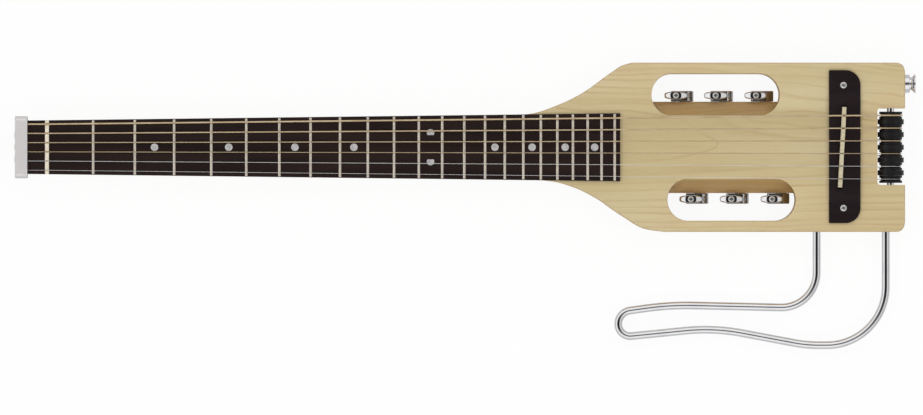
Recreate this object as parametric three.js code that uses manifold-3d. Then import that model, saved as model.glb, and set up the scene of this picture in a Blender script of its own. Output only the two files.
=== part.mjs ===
// A headless travel guitar, lying on its back. Lengths are millimetres.
// +X runs from the nut to the tail, +Y to the bass side, +Z out of the face.
// Every X below is counted from the nut's playing edge, every Z from the flat back.
import * as THREE from 'three';
import { mergeVertices } from 'three/addons/utils/BufferGeometryUtils.js';
import Module from 'manifold-3d';

const wasm = await Module();
wasm.setup();

// Clearances that all pieces share
const seam = 0.2;
const runningGap = 0.3;
const overrun = 5;
const weldDistance = 0.001;

// Places along the body are counted from the saddle line, which lies one scale length from the nut
const scaleLength = 628.65;

// Body and neck, one length of maple
const bodyDepth = 44.45;
const bodyHalfWidth = 67.7;
const tailBehindSaddle = 55.95;
const tailCornerRadius = 7;
const bodyEdgeRadius = 2;
const neckEdgeRadius = 0.4;
const neckPastNut = 17;
const neckWoodAtNut = 15;
const neckWoodAtHeel = 17.5;
const neckSideLand = 3;
const neckRoundShare = 0.92;
const heelBeforeSaddle = 288.65;
const heelLength = 64;

// How the plan widens from neck to body: share of the flare's length, share of its rise
const bassFlareBeforeSaddle = 248.65;
const bassFlareLength = 86;
const bassFlareShares = [
  [0, 0], [0.1, 0.03], [0.21, 0.1], [0.42, 0.28], [0.58, 0.467],
  [0.76, 0.74], [0.84, 0.855], [0.9, 0.937], [1, 1],
];
const trebleFlareBeforeSaddle = 233.65;
const trebleFlareLength = 97;
const trebleFlareShares = [
  [0, 0], [0.13, 0.045], [0.3, 0.18], [0.46, 0.38], [0.58, 0.58],
  [0.7, 0.765], [0.78, 0.885], [0.86, 0.955], [1, 1],
];

// Fingerboard, frets and nut
const nutWidth = 43.2;
const boardEndWidth = 54.4;
const boardPastLastFret = 4.36;
const boardThickness = 6;
const boardRadius = 305;
const fretCount = 22;
const fretsPerOctave = 12;
const fretWidth = 2.2;
const fretHeight = 1.1;
const fretBed = 0.6;
const fretInset = 0.5;
const nutLength = 3.2;
const nutSlotDepth = 3.4;
const nutAboveBoard = 2.9;

// Strings, from the thinnest on the treble side to the thickest on the bass side
const stringDiameters = [0.3, 0.41, 0.61, 0.81, 1.07, 1.35];
const plainStringCount = 2;
const stringCount = stringDiameters.length;
const stringFromNutEnd = 3.2;
const saddlePitch = 10.1;
const rollerPitch = 10.2;
const nutStringLift = 0.5;
const twelfthFretAction = 2.2;
const ballRadius = 1.9;
const ballLength = 3;
const ballDepth = 0.6;
const stringSides = 6;
const stepsPerTurn = 24;
const windingTurns = 1.5;
const windingGap = 0.5;

// Head piece at the end of the neck
const headLength = 10;
const headPastNeckSide = 3.2;
const headTopAboveBoard = 4.8;
const headBelowNeck = 1.5;
const headCornerRadius = 3.5;
const headEdge = 0.8;
const stringHoleAboveBoard = 1.5;
const ballPocketGap = 0.5;
const ballPocketDepth = 4.6;
const headScrewPitch = 9.6;
const headScrewBelowFace = 6.95;
const headScrewHeadRadius = 2.6;
const headScrewHeadHeight = 2.8;
const headScrewStandOff = 0.7;
const headScrewRadius = 1.6;
const headScrewLength = 18;
const headScrewCount = 3;

// Truss rod in its channel under the fingerboard
const trussFromNut = 2;
const trussEndFromHeel = 8;
const trussWidth = 6;
const trussHeight = 9;
const trussNutRadius = 3.6;
const trussNutLength = 9;

// Tuner slots through the body: one for each side
const slotLength = 102.4;
const slotInnerY = 25.4;
const slotRim = 8.9;
const bassSlotBeforeSaddle = 146.95;
const trebleSlotBeforeSaddle = 134.15;
const tunerWallY = 36.6;
const tunerWallThickness = 8.6;
const tunerWallAboveHousing = 0.7;

// String well in the back, with the face of the body as its roof
const wellBeforeSaddle = 131.65;
const wellRoof = 10.95;
const wellCornerRadius = 8;
const notchCornerRadius = 2.5;

// Tuning machines: places of the buttons as shares of their slot, outer string first
const bassButtonShares = [0.8174, 0.502, 0.1914];
const trebleButtonShares = [0.8184, 0.5, 0.1836];
const buttonFromWall = 4.9;
const gearZ = 13;
const gearTeeth = 14;
const gearTipRadius = 5.7;
const gearWidth = 2.6;
const toothHeight = 1;
const toothStaggerShare = 0.5;
const toothRootShare = 0.42;
const toothTipShare = 0.24;
const wormCoreRadius = 1.6;
const threadRootWidth = 0.95;
const threadCrestWidth = 0.5;
const threadTurns = 2;
const threadStepsPerTurn = 8;
const housingWall = 0.8;
const housingCorner = 2;
const housingEdge = 0.7;
const bushingWall = 1.2;
const postRadius = 2.9;
const postWaistDepth = 0.5;
const postReach = 16;
const postRim = 0.9;
const buttonWidth = 18.4;
const buttonHeight = 15.5;
const buttonThickness = 6;
const buttonNeckLength = 4.4;
const buttonNeckRadius = 2.9;
const buttonTopFlat = 0.6;
const buttonScrewRadius = 2.6;
const buttonScrewHeight = 1.1;
const buttonScrewShank = 1.1;
const buttonScrewLength = 6;

// A quarter of the button seen end on: share of the half width, share of the half thickness
const buttonEndShares = [[1, 0.35], [0.88, 0.76], [0.64, 0.84], [0.38, 0.72], [0.22, 0.98], [0, 1]];

// Roller tailpiece, in a notch in the tail
const axleBehindSaddle = 44.55;
const axleBelowFace = 5.95;
const axleRadius = 2.95;
const axleSeatDepth = 6;
const rollerRadius = 9.2;
const rollerGrooveDepth = 1.2;
const rollerWidth = 5.5;
const rollerRimWidth = 1.4;
const rollerFloorWidth = 1.6;
const rollerPlay = 0.4;
const spacerAboveRoller = 1.3;
const notchPastRollers = 1.85;
const notchBassRoom = 1.2;

// Bridge, saddle and pickup
const bridgeBeforeSaddle = 5.05;
const bridgeLength = 25.2;
const bridgeCornerRadius = 12;
const bridgeHeight = 6.5;
const bridgeWingHeight = 4.3;
const bridgeCrownPastSaddle = 5.8;
const bridgeScoop = 9;
const bridgeBassWing = 14.7;
const bridgeTrebleWing = 13.7;
const bridgeScrewFromFront = 11.6;
const bridgeScrewFromEnd = 12.1;
const bridgeScrewHeadRadius = 2.8;
const bridgeScrewHeadHeight = 1.5;
const bridgeScrewRadius = 1.5;
const bridgeScrewLength = 14;
const saddlePastString = 6.95;
const saddleThickness = 3.4;
const bassCompensation = 7.15;
const trebleCompensation = 3.65;
const saddleSlotDepth = 4;
const saddleSlotEndGap = 1.3;
const pickupThickness = 1;
const pickupInset = 0.6;
const leadRadius = 1.1;
const leadChannelRadius = 1.6;
const leadFromSaddleEnd = 1.6;
const leadBend = 3.5;

// Output socket in the tail, which also holds the strap
const socketFromSide = 16.7;
const socketLength = 44;
const socketRadius = 5.6;
const socketBoreRadius = 3.4;
const socketNutRadius = 7.3;
const socketNutLength = 4.4;
const socketNutChamfer = 0.7;
const flangeWaistRadius = 5.2;
const flangeWaistLength = 2.6;
const flangeRadius = 7.5;
const flangeThickness = 1.7;
const flangeEdge = 0.4;

// Lap rest, one rod bent in the body's middle plane: its legs plug into the treble side
const rodRadius = 3.175;
const rodSides = 8;
const rodInsertion = 28;
const frontLegBeforeSaddle = 14.35;
const legSpacing = 55.4;
const lapRestLength = 158.9;
const lapRestDrop = 90.8;
const bendStepAngle = Math.PI / 12;

// Corners of the rod from leg to leg: share of the length from the front leg, share of the drop
const lapRestShares = [[0, 0.674], [0.738, 0.645], [1, 0.708], [1, 0.931], [0.518, 0.847], [0.052, 1]];
const lapRestBends = [28, 100, 9.6, 9.6, 160, 110];
const rearLegBend = 47;

// Finishes
const maple = new THREE.MeshStandardMaterial({ color: 0xcdb88e, roughness: 0.55, metalness: 0 });
const darkWood = new THREE.MeshStandardMaterial({ color: 0x2e221f, roughness: 0.5, metalness: 0 });
const bone = new THREE.MeshStandardMaterial({ color: 0xbdb193, roughness: 0.45, metalness: 0 });
const greyMetal = new THREE.MeshStandardMaterial({ color: 0xcbc6c5, roughness: 0.4, metalness: 0.6 });
const chrome = new THREE.MeshStandardMaterial({ color: 0xd8d8d8, roughness: 0.12, metalness: 1 });
const steel = new THREE.MeshStandardMaterial({ color: 0xb5b5b3, roughness: 0.3, metalness: 1 });
const bronze = new THREE.MeshStandardMaterial({ color: 0xb08a55, roughness: 0.35, metalness: 1 });
const blackPlastic = new THREE.MeshStandardMaterial({ color: 0x161413, roughness: 0.4, metalness: 0 });

// Levels and lines that several pieces share
const fretX = (number) => scaleLength * (1 - 2 ** (-number / fretsPerOctave));
const boardEndX = fretX(fretCount) + boardPastLastFret;
const neckEndX = -neckPastNut;
const heelStartX = scaleLength - heelBeforeSaddle;
const heelEndX = heelStartX + heelLength;
const bassFlareX = scaleLength - bassFlareBeforeSaddle;
const trebleFlareX = scaleLength - trebleFlareBeforeSaddle;
const tailX = scaleLength + tailBehindSaddle;
const faceZ = bodyDepth;
const middleZ = bodyDepth / 2;
const boardTopZ = faceZ + seam + boardThickness;
const nutSlotFloorZ = boardTopZ - nutSlotDepth;
const saddleLength = saddlePitch * (stringCount - 1) + saddlePastString * 2;
const saddleMidX = scaleLength + (bassCompensation + trebleCompensation) / 2;
const saddleSlant = Math.atan2(bassCompensation - trebleCompensation, saddleLength);
const bridgeStartX = scaleLength - bridgeBeforeSaddle;
const bridgeEndX = bridgeStartX + bridgeLength;
const bridgeCrownHalf = saddleLength / 2 + bridgeCrownPastSaddle;
const bridgeBassY = bridgeCrownHalf + bridgeScoop + bridgeBassWing;
const bridgeTrebleY = bridgeCrownHalf + bridgeScoop + bridgeTrebleWing;
const bridgeScrewX = bridgeStartX + bridgeScrewFromFront;
const bridgeScrewYs = [bridgeBassY - bridgeScrewFromEnd, bridgeScrewFromEnd - bridgeTrebleY];
const bridgeTopZ = faceZ + seam + bridgeHeight;
const saddleFloorZ = bridgeTopZ - saddleSlotDepth;
const nutStringZ = boardTopZ + fretHeight + nutStringLift;
const saddleStringZ = nutStringZ + twelfthFretAction * 2;
const nutPitch = (nutWidth - stringFromNutEnd * 2) / (stringCount - 1);

const gearRootRadius = gearTipRadius - toothHeight;
const wormOuterRadius = wormCoreRadius + toothHeight;
const wormToGear = gearTipRadius + wormCoreRadius + runningGap;
const threadPitch = Math.PI * (gearTipRadius + gearRootRadius) / gearTeeth;
const gearY = buttonFromWall;
const housingThickness = buttonFromWall + wormOuterRadius + runningGap + housingWall;
const housingBehindButton = wormOuterRadius + runningGap + housingWall;
const housingHalfHeight = gearTipRadius + runningGap + housingWall;
const bushingRadius = postRadius + runningGap + bushingWall;
const buttonBaseZ = gearZ + housingHalfHeight + buttonNeckLength;

const slotOuterY = bodyHalfWidth - slotRim;
const bassSlotX = scaleLength - bassSlotBeforeSaddle;
const trebleSlotX = scaleLength - trebleSlotBeforeSaddle;
const tunerWallTop = gearZ + housingHalfHeight + tunerWallAboveHousing;
const wellStartX = scaleLength - wellBeforeSaddle;
const wellHalfWidth = tunerWallY - tunerWallThickness;
const wellDepth = bodyDepth - wellRoof;

const axleX = scaleLength + axleBehindSaddle;
const axleZ = faceZ - axleBelowFace;
const rollerBoreRadius = axleRadius + rollerPlay;
const rollerGrooveRadius = rollerRadius - rollerGrooveDepth;
const spacerRadius = rollerRadius + spacerAboveRoller;
const spacerWidth = rollerPitch - rollerWidth - runningGap * 2;
const notchX = axleX - spacerRadius - runningGap;
const notchHalfWidth = (rollerPitch * (stringCount - 1) + rollerWidth) / 2 + notchPastRollers;

const frontLegX = scaleLength - frontLegBeforeSaddle;
const rearLegX = frontLegX + legSpacing;
const socketY = bodyHalfWidth - socketFromSide;
const socketZ = middleZ;
const headScrewZ = faceZ - headScrewBelowFace;

const vector = (x, y, z) => new THREE.Vector3(x, y, z);
const lerp = THREE.MathUtils.lerp;
const range = (count) => Array.from({ length: count }, (_, index) => index);

// Solids from geometries, and back

function signedVolume(positions, triangles) {
  let volume = 0;
  const corners = [vector(0, 0, 0), vector(0, 0, 0), vector(0, 0, 0)];
  for (let t = 0; t < triangles.length; t += 3) {
    corners.forEach((corner, k) => corner.fromArray(positions, triangles[t + k] * 3));
    volume += corners[0].dot(corners[1].cross(corners[2])) / 6;
  }
  return volume;
}

function solidOf(geometry) {
  const bare = new THREE.BufferGeometry();
  bare.setAttribute('position', geometry.getAttribute('position').clone());
  bare.setIndex(geometry.index);
  const welded = mergeVertices(bare, weldDistance);
  const vertProperties = Float32Array.from(welded.getAttribute('position').array);
  const triVerts = Uint32Array.from(welded.index.array);
  if (signedVolume(vertProperties, triVerts) < 0) {
    triVerts.reverse();
  }
  return new wasm.Manifold(new wasm.Mesh({ numProp: 3, vertProperties, triVerts }));
}

function geometryOf(solid) {
  const mesh = solid.getMesh();
  const geometry = new THREE.BufferGeometry();
  geometry.setAttribute('position', new THREE.BufferAttribute(mesh.vertProperties, 3));
  geometry.setIndex(new THREE.BufferAttribute(mesh.triVerts, 1));
  return geometry;
}

const outward = (geometry) => geometryOf(solidOf(geometry));

function join(first, ...others) {
  return geometryOf(others.reduce((sum, other) => sum.add(solidOf(other)), solidOf(first)));
}

function cut(first, ...tools) {
  return geometryOf(tools.reduce((rest, tool) => rest.subtract(solidOf(tool)), solidOf(first)));
}

function common(first, second) {
  return geometryOf(solidOf(first).intersect(solidOf(second)));
}

// Ways to make a form

// Which way the sheet of a profile faces: its two axes and the axis it is drawn out along
const profileAxes = {
  x: new THREE.Matrix4().makeBasis(vector(0, 1, 0), vector(0, 0, 1), vector(1, 0, 0)),
  y: new THREE.Matrix4().makeBasis(vector(1, 0, 0), vector(0, 0, 1), vector(0, 1, 0)),
  z: new THREE.Matrix4(),
};

// A profile drawn out along an axis between two stations, with its edges rounded by a bevel
function drawOut(shape, axis, from, to, { bevel = 0, curveSegments = 5, bevelSegments = 2 } = {}) {
  const geometry = new THREE.ExtrudeGeometry(shape, {
    depth: to - from - bevel * 2,
    bevelEnabled: bevel > 0,
    bevelThickness: bevel,
    bevelSize: bevel,
    bevelOffset: -bevel,
    bevelSegments,
    curveSegments,
    steps: 1,
  });
  geometry.translate(0, 0, from + bevel);
  return geometry.applyMatrix4(profileAxes[axis]);
}

// A box between two corners
function block(low, high) {
  const size = high.clone().sub(low);
  const middle = low.clone().add(high).divideScalar(2);
  return new THREE.BoxGeometry(size.x, size.y, size.z).translate(middle.x, middle.y, middle.z);
}

// A profile of [radius, station] pairs turned round an axis
function turn(profile, axis, segments = 20) {
  const geometry = new THREE.LatheGeometry(profile.map(([r, s]) => new THREE.Vector2(r, s)), segments);
  if (axis === 'x') {
    geometry.rotateZ(-Math.PI / 2);
  }
  if (axis === 'z') {
    geometry.rotateX(Math.PI / 2);
  }
  return geometry;
}

function rod(radius, axis, from, to, segments = 20) {
  return turn([[0, from], [radius, from], [radius, to], [0, to]], axis, segments);
}

// A closed solid through rings of points, with flat convex ends
function loft(rings) {
  const count = rings[0].length;
  const positions = rings.flat().flatMap((point) => point.toArray());
  const triangles = [];
  for (let ring = 0; ring < rings.length - 1; ring += 1) {
    for (let i = 0; i < count; i += 1) {
      const here = ring * count + i;
      const next = ring * count + (i + 1) % count;
      triangles.push(here, next, next + count, here, next + count, here + count);
    }
  }
  const last = (rings.length - 1) * count;
  for (let i = 1; i < count - 1; i += 1) {
    triangles.push(0, i + 1, i, last, last + i, last + i + 1);
  }
  const geometry = new THREE.BufferGeometry();
  geometry.setAttribute('position', new THREE.Float32BufferAttribute(positions, 3));
  geometry.setIndex(triangles);
  return geometry;
}

// A round tube through points, with a radius for each of them
function tube(points, radii, sides) {
  const rings = [];
  const start = points[1].clone().sub(points[0]).normalize();
  const across = Math.abs(start.z) < Math.SQRT1_2 ? vector(0, 0, 1) : vector(1, 0, 0);
  points.forEach((point, i) => {
    const before = points[Math.max(i - 1, 0)];
    const after = points[Math.min(i + 1, points.length - 1)];
    const along = after.clone().sub(before).normalize();
    across.addScaledVector(along, -across.dot(along)).normalize();
    const other = along.clone().cross(across);
    rings.push(range(sides).map((k) => {
      const angle = Math.PI * 2 * k / sides;
      return point.clone()
        .addScaledVector(across, Math.cos(angle) * radii[i])
        .addScaledVector(other, Math.sin(angle) * radii[i]);
    }));
  });
  return loft(rings);
}

const evenTube = (points, radius, sides) => tube(points, points.map(() => radius), sides);

// A line through corners, each but the ends turned on its own bend radius
function bentLine(corners) {
  const points = [corners[0].at];
  for (let i = 1; i < corners.length - 1; i += 1) {
    const { at, bend } = corners[i];
    const back = corners[i - 1].at.clone().sub(at).normalize();
    const on = corners[i + 1].at.clone().sub(at).normalize();
    const halfOpening = back.angleTo(on) / 2;
    const inward = back.clone().add(on).normalize();
    const centre = at.clone().addScaledVector(inward, bend / Math.sin(halfOpening));
    const start = at.clone().addScaledVector(back, bend / Math.tan(halfOpening)).sub(centre);
    const swing = Math.PI - halfOpening * 2;
    const axis = back.clone().cross(start).normalize();
    const steps = Math.max(2, Math.ceil(swing / bendStepAngle));
    for (let k = 0; k <= steps; k += 1) {
      points.push(start.clone().applyAxisAngle(axis, swing * k / steps).add(centre));
    }
  }
  points.push(corners[corners.length - 1].at);
  return points;
}

function polygon(points) {
  return new THREE.Shape(points.map(([x, y]) => new THREE.Vector2(x, y)));
}

// Points along an arc, for use in a polygon
function arc(x, y, radius, from, to, steps) {
  return range(steps + 1).map((k) => {
    const angle = lerp(from, to, k / steps);
    return [x + radius * Math.cos(angle), y + radius * Math.sin(angle)];
  });
}

function roundedRectangle(lowX, highX, lowY, highY, corner, steps) {
  const quarter = Math.PI / 2;
  return polygon([
    ...arc(highX - corner, highY - corner, corner, 0, quarter, steps),
    ...arc(lowX + corner, highY - corner, corner, quarter, quarter * 2, steps),
    ...arc(lowX + corner, lowY + corner, corner, quarter * 2, quarter * 3, steps),
    ...arc(highX - corner, lowY + corner, corner, quarter * 3, quarter * 4, steps),
  ]);
}

// Lines of the plan

// Eases from 0 to 1 with flat ends
function ease(x, start, end) {
  return THREE.MathUtils.smoothstep(x, start, end);
}

// Value of a smooth curve through share pairs
function throughShares(shares, at) {
  const clamped = THREE.MathUtils.clamp(at, 0, 1);
  const i = Math.min(shares.findIndex(([place]) => place >= clamped), shares.length - 1);
  if (i <= 0) {
    return shares[0][1];
  }
  const slope = (k) => {
    const low = shares[Math.max(k - 1, 0)];
    const high = shares[Math.min(k + 1, shares.length - 1)];
    return (high[1] - low[1]) / (high[0] - low[0]);
  };
  const [startAt, startValue] = shares[i - 1];
  const [endAt, endValue] = shares[i];
  const span = endAt - startAt;
  const t = (clamped - startAt) / span;
  const t2 = t * t;
  const t3 = t2 * t;
  return startValue * (2 * t3 - 3 * t2 + 1) + endValue * (3 * t2 - 2 * t3)
    + span * (slope(i - 1) * (t3 - 2 * t2 + t) + slope(i) * (t3 - t2));
}

const boardHalfWidth = (x) => lerp(nutWidth, boardEndWidth, x / boardEndX) / 2;

// How far a round edge draws in at a distance from the end that it rounds
function roundIn(distance, radius) {
  const left = THREE.MathUtils.clamp(radius - distance, 0, radius);
  return radius - Math.sqrt(radius * radius - left * left);
}

// Half width of the wood on one side
function sideLine(x, flareStartX, flareLength, shares) {
  if (x < flareStartX) {
    return boardHalfWidth(x);
  }
  const rise = throughShares(shares, (x - flareStartX) / flareLength);
  const side = lerp(boardHalfWidth(flareStartX), bodyHalfWidth, rise);
  return side - roundIn(tailX - x, tailCornerRadius);
}

function bassLine(x) {
  return sideLine(x, bassFlareX, bassFlareLength, bassFlareShares);
}

function trebleLine(x) {
  return sideLine(x, trebleFlareX, trebleFlareLength, trebleFlareShares);
}

// Cross section of the wood at one station: a C under the fingerboard, a rounded oblong in the body
function woodSection(x) {
  const heel = ease(x, heelStartX, heelEndX);
  const neckWood = lerp(neckWoodAtNut, neckWoodAtHeel, x / heelStartX);
  const inset = roundIn(tailX - x, bodyEdgeRadius);
  const bass = bassLine(x) - inset;
  const treble = trebleLine(x) - inset;
  const lowZ = lerp(faceZ - neckWood, 0, heel) + inset;
  const highZ = faceZ - inset;
  const topRound = lerp(neckEdgeRadius, bodyEdgeRadius, heel);
  const roundWidth = lerp(Math.min(bass, treble) * neckRoundShare, bodyEdgeRadius, heel);
  const roundHeight = lerp(neckWood - neckSideLand, bodyEdgeRadius, heel);
  const top = { wide: topRound, tall: topRound, z: highZ - topRound, steps: 2 };
  const bottom = { wide: roundWidth, tall: roundHeight, z: lowZ + roundHeight, steps: 5 };
  const corners = [
    { ...top, y: bass - topRound },
    { ...top, y: -treble + topRound },
    { ...bottom, y: -treble + roundWidth },
    { ...bottom, y: bass - roundWidth },
  ];
  return corners.flatMap(({ y, z, wide, tall, steps }, quarter) => range(steps + 1).map((k) => {
    const angle = Math.PI / 2 * (quarter + k / steps);
    return vector(x, y + Math.cos(angle) * wide, z + Math.sin(angle) * tall);
  }));
}

// Stations of the loft: few along the neck, close together where the form turns
function woodStations() {
  const flareEndX = trebleFlareX + trebleFlareLength;
  const turning = 20;
  const cornerSteps = 4;
  const neck = [neckEndX, heelStartX / 2];
  const heelAndFlare = range(turning + 1).map((k) => lerp(heelStartX, flareEndX, k / turning));
  const tail = range(cornerSteps + 1).map((k) => {
    const angle = Math.PI / 2 * k / cornerSteps;
    return tailX - tailCornerRadius * (1 - Math.sin(angle));
  });
  return [...neck, ...heelAndFlare, ...tail].sort((a, b) => a - b);
}

// Strings: heights and routes

const arcDrop = (y) => boardRadius - Math.sqrt(boardRadius * boardRadius - y * y);
const spread = (index) => index - (stringCount - 1) / 2;
const nutY = (index) => spread(index) * nutPitch;
const saddleY = (index) => spread(index) * saddlePitch;
const rollerY = (index) => spread(index) * rollerPitch;
const saddleX = (y) => saddleMidX + y * Math.tan(saddleSlant);
const radiusOf = (index) => stringDiameters[index] / 2;
const headHoleZ = (index) => boardTopZ - arcDrop(nutY(index)) + stringHoleAboveBoard;

// The three bass strings go to the posts on the bass side, the outer string to the nearest one
function tunerOf(index) {
  const half = stringCount / 2;
  const isBass = index >= half;
  const place = isBass ? stringCount - 1 - index : index;
  return {
    side: isBass ? 1 : -1,
    buttonX: isBass
      ? bassSlotX + slotLength * bassButtonShares[place]
      : trebleSlotX + slotLength * trebleButtonShares[place],
  };
}

// Direction of the straight run that passes under the roller and over the post
function crossingNormal(roller, rollerReach, post, postReachRadius) {
  const away = post.clone().sub(roller);
  const heading = Math.atan2(away.z, away.x);
  const angle = Math.acos(-(rollerReach + postReachRadius) / away.length());
  const upward = [heading + angle, heading - angle].find((pick) => Math.sin(pick) > 0);
  return Math.atan2(Math.sin(upward), Math.cos(upward));
}

// Angle on the roller where the run from the saddle meets it from above
function landingAngle(roller, rollerReach, saddle) {
  const away = saddle.clone().sub(roller);
  const heading = Math.atan2(away.z, away.x);
  return heading - Math.acos(rollerReach / away.length());
}

function stringRoute(index) {
  const radius = radiusOf(index);
  const { side, buttonX } = tunerOf(index);
  const rollerReach = rollerGrooveRadius + runningGap + radius;
  const windingRadius = postRadius - postWaistDepth + runningGap + radius;
  const windingPitch = radius * 2 + windingGap;
  const windingStartY = side * (wellHalfWidth - postRim - radius);
  const roller = vector(axleX, 0, axleZ);
  const post = vector(buttonX + wormToGear, 0, gearZ);
  const saddle = vector(saddleX(saddleY(index)), 0, saddleStringZ - arcDrop(saddleY(index)) + radius);
  const saddleEdge = saddle.clone().setX(saddle.x + saddleThickness / 2);
  const landing = landingAngle(roller, rollerReach, saddleEdge);
  const normal = crossingNormal(roller, rollerReach, post, windingRadius);
  const leaving = normal - Math.PI;
  const holeZ = headHoleZ(index);
  const ballEndX = neckEndX - seam - headLength + ballDepth;
  const points = [
    vector(ballEndX, nutY(index), holeZ),
    vector(ballEndX + ballLength, nutY(index), holeZ),
    vector(ballEndX + ballLength + radius, nutY(index), holeZ),
    vector(neckEndX, nutY(index), holeZ),
    vector(-nutLength / 2, nutY(index), nutStringZ - arcDrop(nutY(index)) + radius),
    vector(saddle.x - saddleThickness / 2, saddleY(index), saddle.z),
    vector(saddle.x + saddleThickness / 2, saddleY(index), saddle.z),
  ];
  const wrapSteps = 6;
  range(wrapSteps + 1).forEach((k) => {
    const angle = lerp(landing, leaving, k / wrapSteps);
    points.push(vector(
      roller.x + Math.cos(angle) * rollerReach,
      rollerY(index),
      roller.z + Math.sin(angle) * rollerReach,
    ));
  });
  const turnSteps = Math.round(windingTurns * stepsPerTurn);
  range(turnSteps + 1).forEach((k) => {
    const angle = normal + Math.PI * 2 * k / stepsPerTurn;
    points.push(vector(
      post.x + Math.cos(angle) * windingRadius,
      windingStartY - side * windingPitch * k / stepsPerTurn,
      post.z + Math.sin(angle) * windingRadius,
    ));
  });
  return points;
}

// Least distance between the surfaces of neighbouring turns, taken on the route's points
function leastGap(points, radius) {
  const winding = points.slice(-Math.round(windingTurns * stepsPerTurn));
  const apart = Math.round(stepsPerTurn / 2);
  let least = Infinity;
  winding.forEach((point, i) => {
    winding.slice(i + apart).forEach((other) => {
      least = Math.min(least, point.distanceTo(other) - radius * 2);
    });
  });
  return least;
}

function stringSolid(index) {
  const points = stringRoute(index);
  const radius = radiusOf(index);
  const radii = points.map((_, i) => (i < 2 ? ballRadius : radius));
  console.log(`string ${index + 1}: least gap in its winding ${leastGap(points, radius).toFixed(2)} mm`);
  return outward(tube(points, radii, stringSides));
}

// Body and neck

function tunerSlot(side, startX) {
  const outline = roundedRectangle(
    startX, startX + slotLength, slotInnerY, slotOuterY, (slotOuterY - slotInnerY) / 2 - weldDistance, 7,
  );
  const prism = drawOut(outline, 'z', -overrun, faceZ + overrun);
  const slope = (tunerWallY - slotInnerY) / (faceZ - tunerWallTop);
  const carrier = polygon([
    [slotInnerY - overrun, -overrun * 2],
    [tunerWallY, -overrun * 2],
    [tunerWallY, tunerWallTop],
    [slotInnerY - slope * overrun, faceZ + overrun],
    [slotInnerY - overrun, faceZ + overrun],
  ]);
  const wall = drawOut(carrier, 'x', startX - overrun, startX + slotLength + overrun);
  return cut(prism, wall).scale(1, side, 1);
}

function stringWell() {
  const well = roundedRectangle(
    wellStartX, notchX + wellCornerRadius, -wellHalfWidth, wellHalfWidth, wellCornerRadius, 4,
  );
  const notch = roundedRectangle(
    notchX, tailX + overrun, -notchHalfWidth, notchHalfWidth + notchBassRoom, notchCornerRadius, 2,
  );
  return join(
    drawOut(well, 'z', -overrun, wellDepth),
    drawOut(notch, 'z', -overrun, faceZ + overrun),
  );
}

// Route of the pickup's lead, from under the saddle down and across to the output socket
function leadRoute() {
  const y = saddleLength / 2 - leadFromSaddleEnd;
  const x = saddleX(y);
  return bentLine([
    { at: vector(x, y, saddleFloorZ - seam) },
    { at: vector(x, y, socketZ), bend: leadBend },
    { at: vector(x, socketY, socketZ), bend: leadBend },
    { at: vector(tailX - socketLength - seam, socketY, socketZ) },
  ]);
}

// The lead's channel is longer than the lead at both ends
function leadChannel() {
  const points = leadRoute();
  points[0] = points[0].clone().setZ(bridgeTopZ);
  points[points.length - 1] = points[points.length - 1].clone().setX(tailX - socketLength + seam);
  return evenTube(points, leadChannelRadius, 6);
}

function bodyHoles() {
  const holes = [];
  const wallHoleRadius = bushingRadius + runningGap;
  range(stringCount).forEach((index) => {
    const { side, buttonX } = tunerOf(index);
    const hole = rod(wallHoleRadius, 'y', wellHalfWidth - overrun, tunerWallY + overrun, 12);
    holes.push(hole.translate(buttonX + wormToGear, 0, gearZ).scale(1, side, 1));
  });
  const axleReach = notchHalfWidth + axleSeatDepth + runningGap;
  holes.push(rod(axleRadius + runningGap, 'y', -axleReach, axleReach, 12).translate(axleX, 0, axleZ));
  const socketHole = rod(socketRadius + runningGap, 'x', tailX - socketLength, tailX + overrun, 16);
  holes.push(socketHole.translate(0, socketY, socketZ));
  holes.push(leadChannel());
  bridgeScrewYs.forEach((y) => {
    const bottom = faceZ + seam + bridgeWingHeight - bridgeScrewLength - seam;
    const hole = rod(bridgeScrewRadius + runningGap, 'z', bottom, faceZ + overrun, 8);
    holes.push(hole.translate(bridgeScrewX, y, 0));
  });
  headScrewYs().forEach((y) => {
    const end = neckEndX - seam - headLength - headScrewStandOff + headScrewLength + seam;
    const hole = rod(headScrewRadius + runningGap, 'x', neckEndX - overrun, end, 8);
    holes.push(hole.translate(0, y, headScrewZ));
  });
  [frontLegX, rearLegX].forEach((x) => {
    const mouth = -bodyHalfWidth - overrun;
    const bottom = -bodyHalfWidth + rodInsertion + seam;
    const hole = rod(rodRadius + runningGap, 'y', mouth, bottom, 14);
    holes.push(hole.translate(x, 0, middleZ));
  });
  return holes;
}

function trussChannel() {
  const channelHalf = trussWidth / 2 + runningGap;
  const nutHalf = trussNutRadius + runningGap;
  const floor = faceZ - trussHeight - runningGap * 2;
  const start = trussFromNut - runningGap;
  const end = heelEndX - trussEndFromHeel + runningGap;
  const nutEnd = trussFromNut + trussNutLength + runningGap;
  const mouth = faceZ + overrun;
  return join(
    block(vector(start, -channelHalf, floor), vector(end, channelHalf, mouth)),
    block(vector(start, -nutHalf, floor), vector(nutEnd, nutHalf, mouth)),
  );
}

function bodyAndNeck() {
  const wood = loft(woodStations().map(woodSection));
  return cut(
    wood,
    tunerSlot(1, bassSlotX),
    tunerSlot(-1, trebleSlotX),
    stringWell(),
    trussChannel(),
    ...bodyHoles(),
  );
}

// Fingerboard, nut and truss rod

function boardSection(x) {
  const half = boardHalfWidth(x);
  const crownSteps = 3;
  const top = range(crownSteps + 1).map((k) => {
    const y = lerp(half, -half, k / crownSteps);
    return vector(x, y, boardTopZ - arcDrop(y));
  });
  return [...top, vector(x, -half, faceZ + seam), vector(x, half, faceZ + seam)];
}

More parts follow.
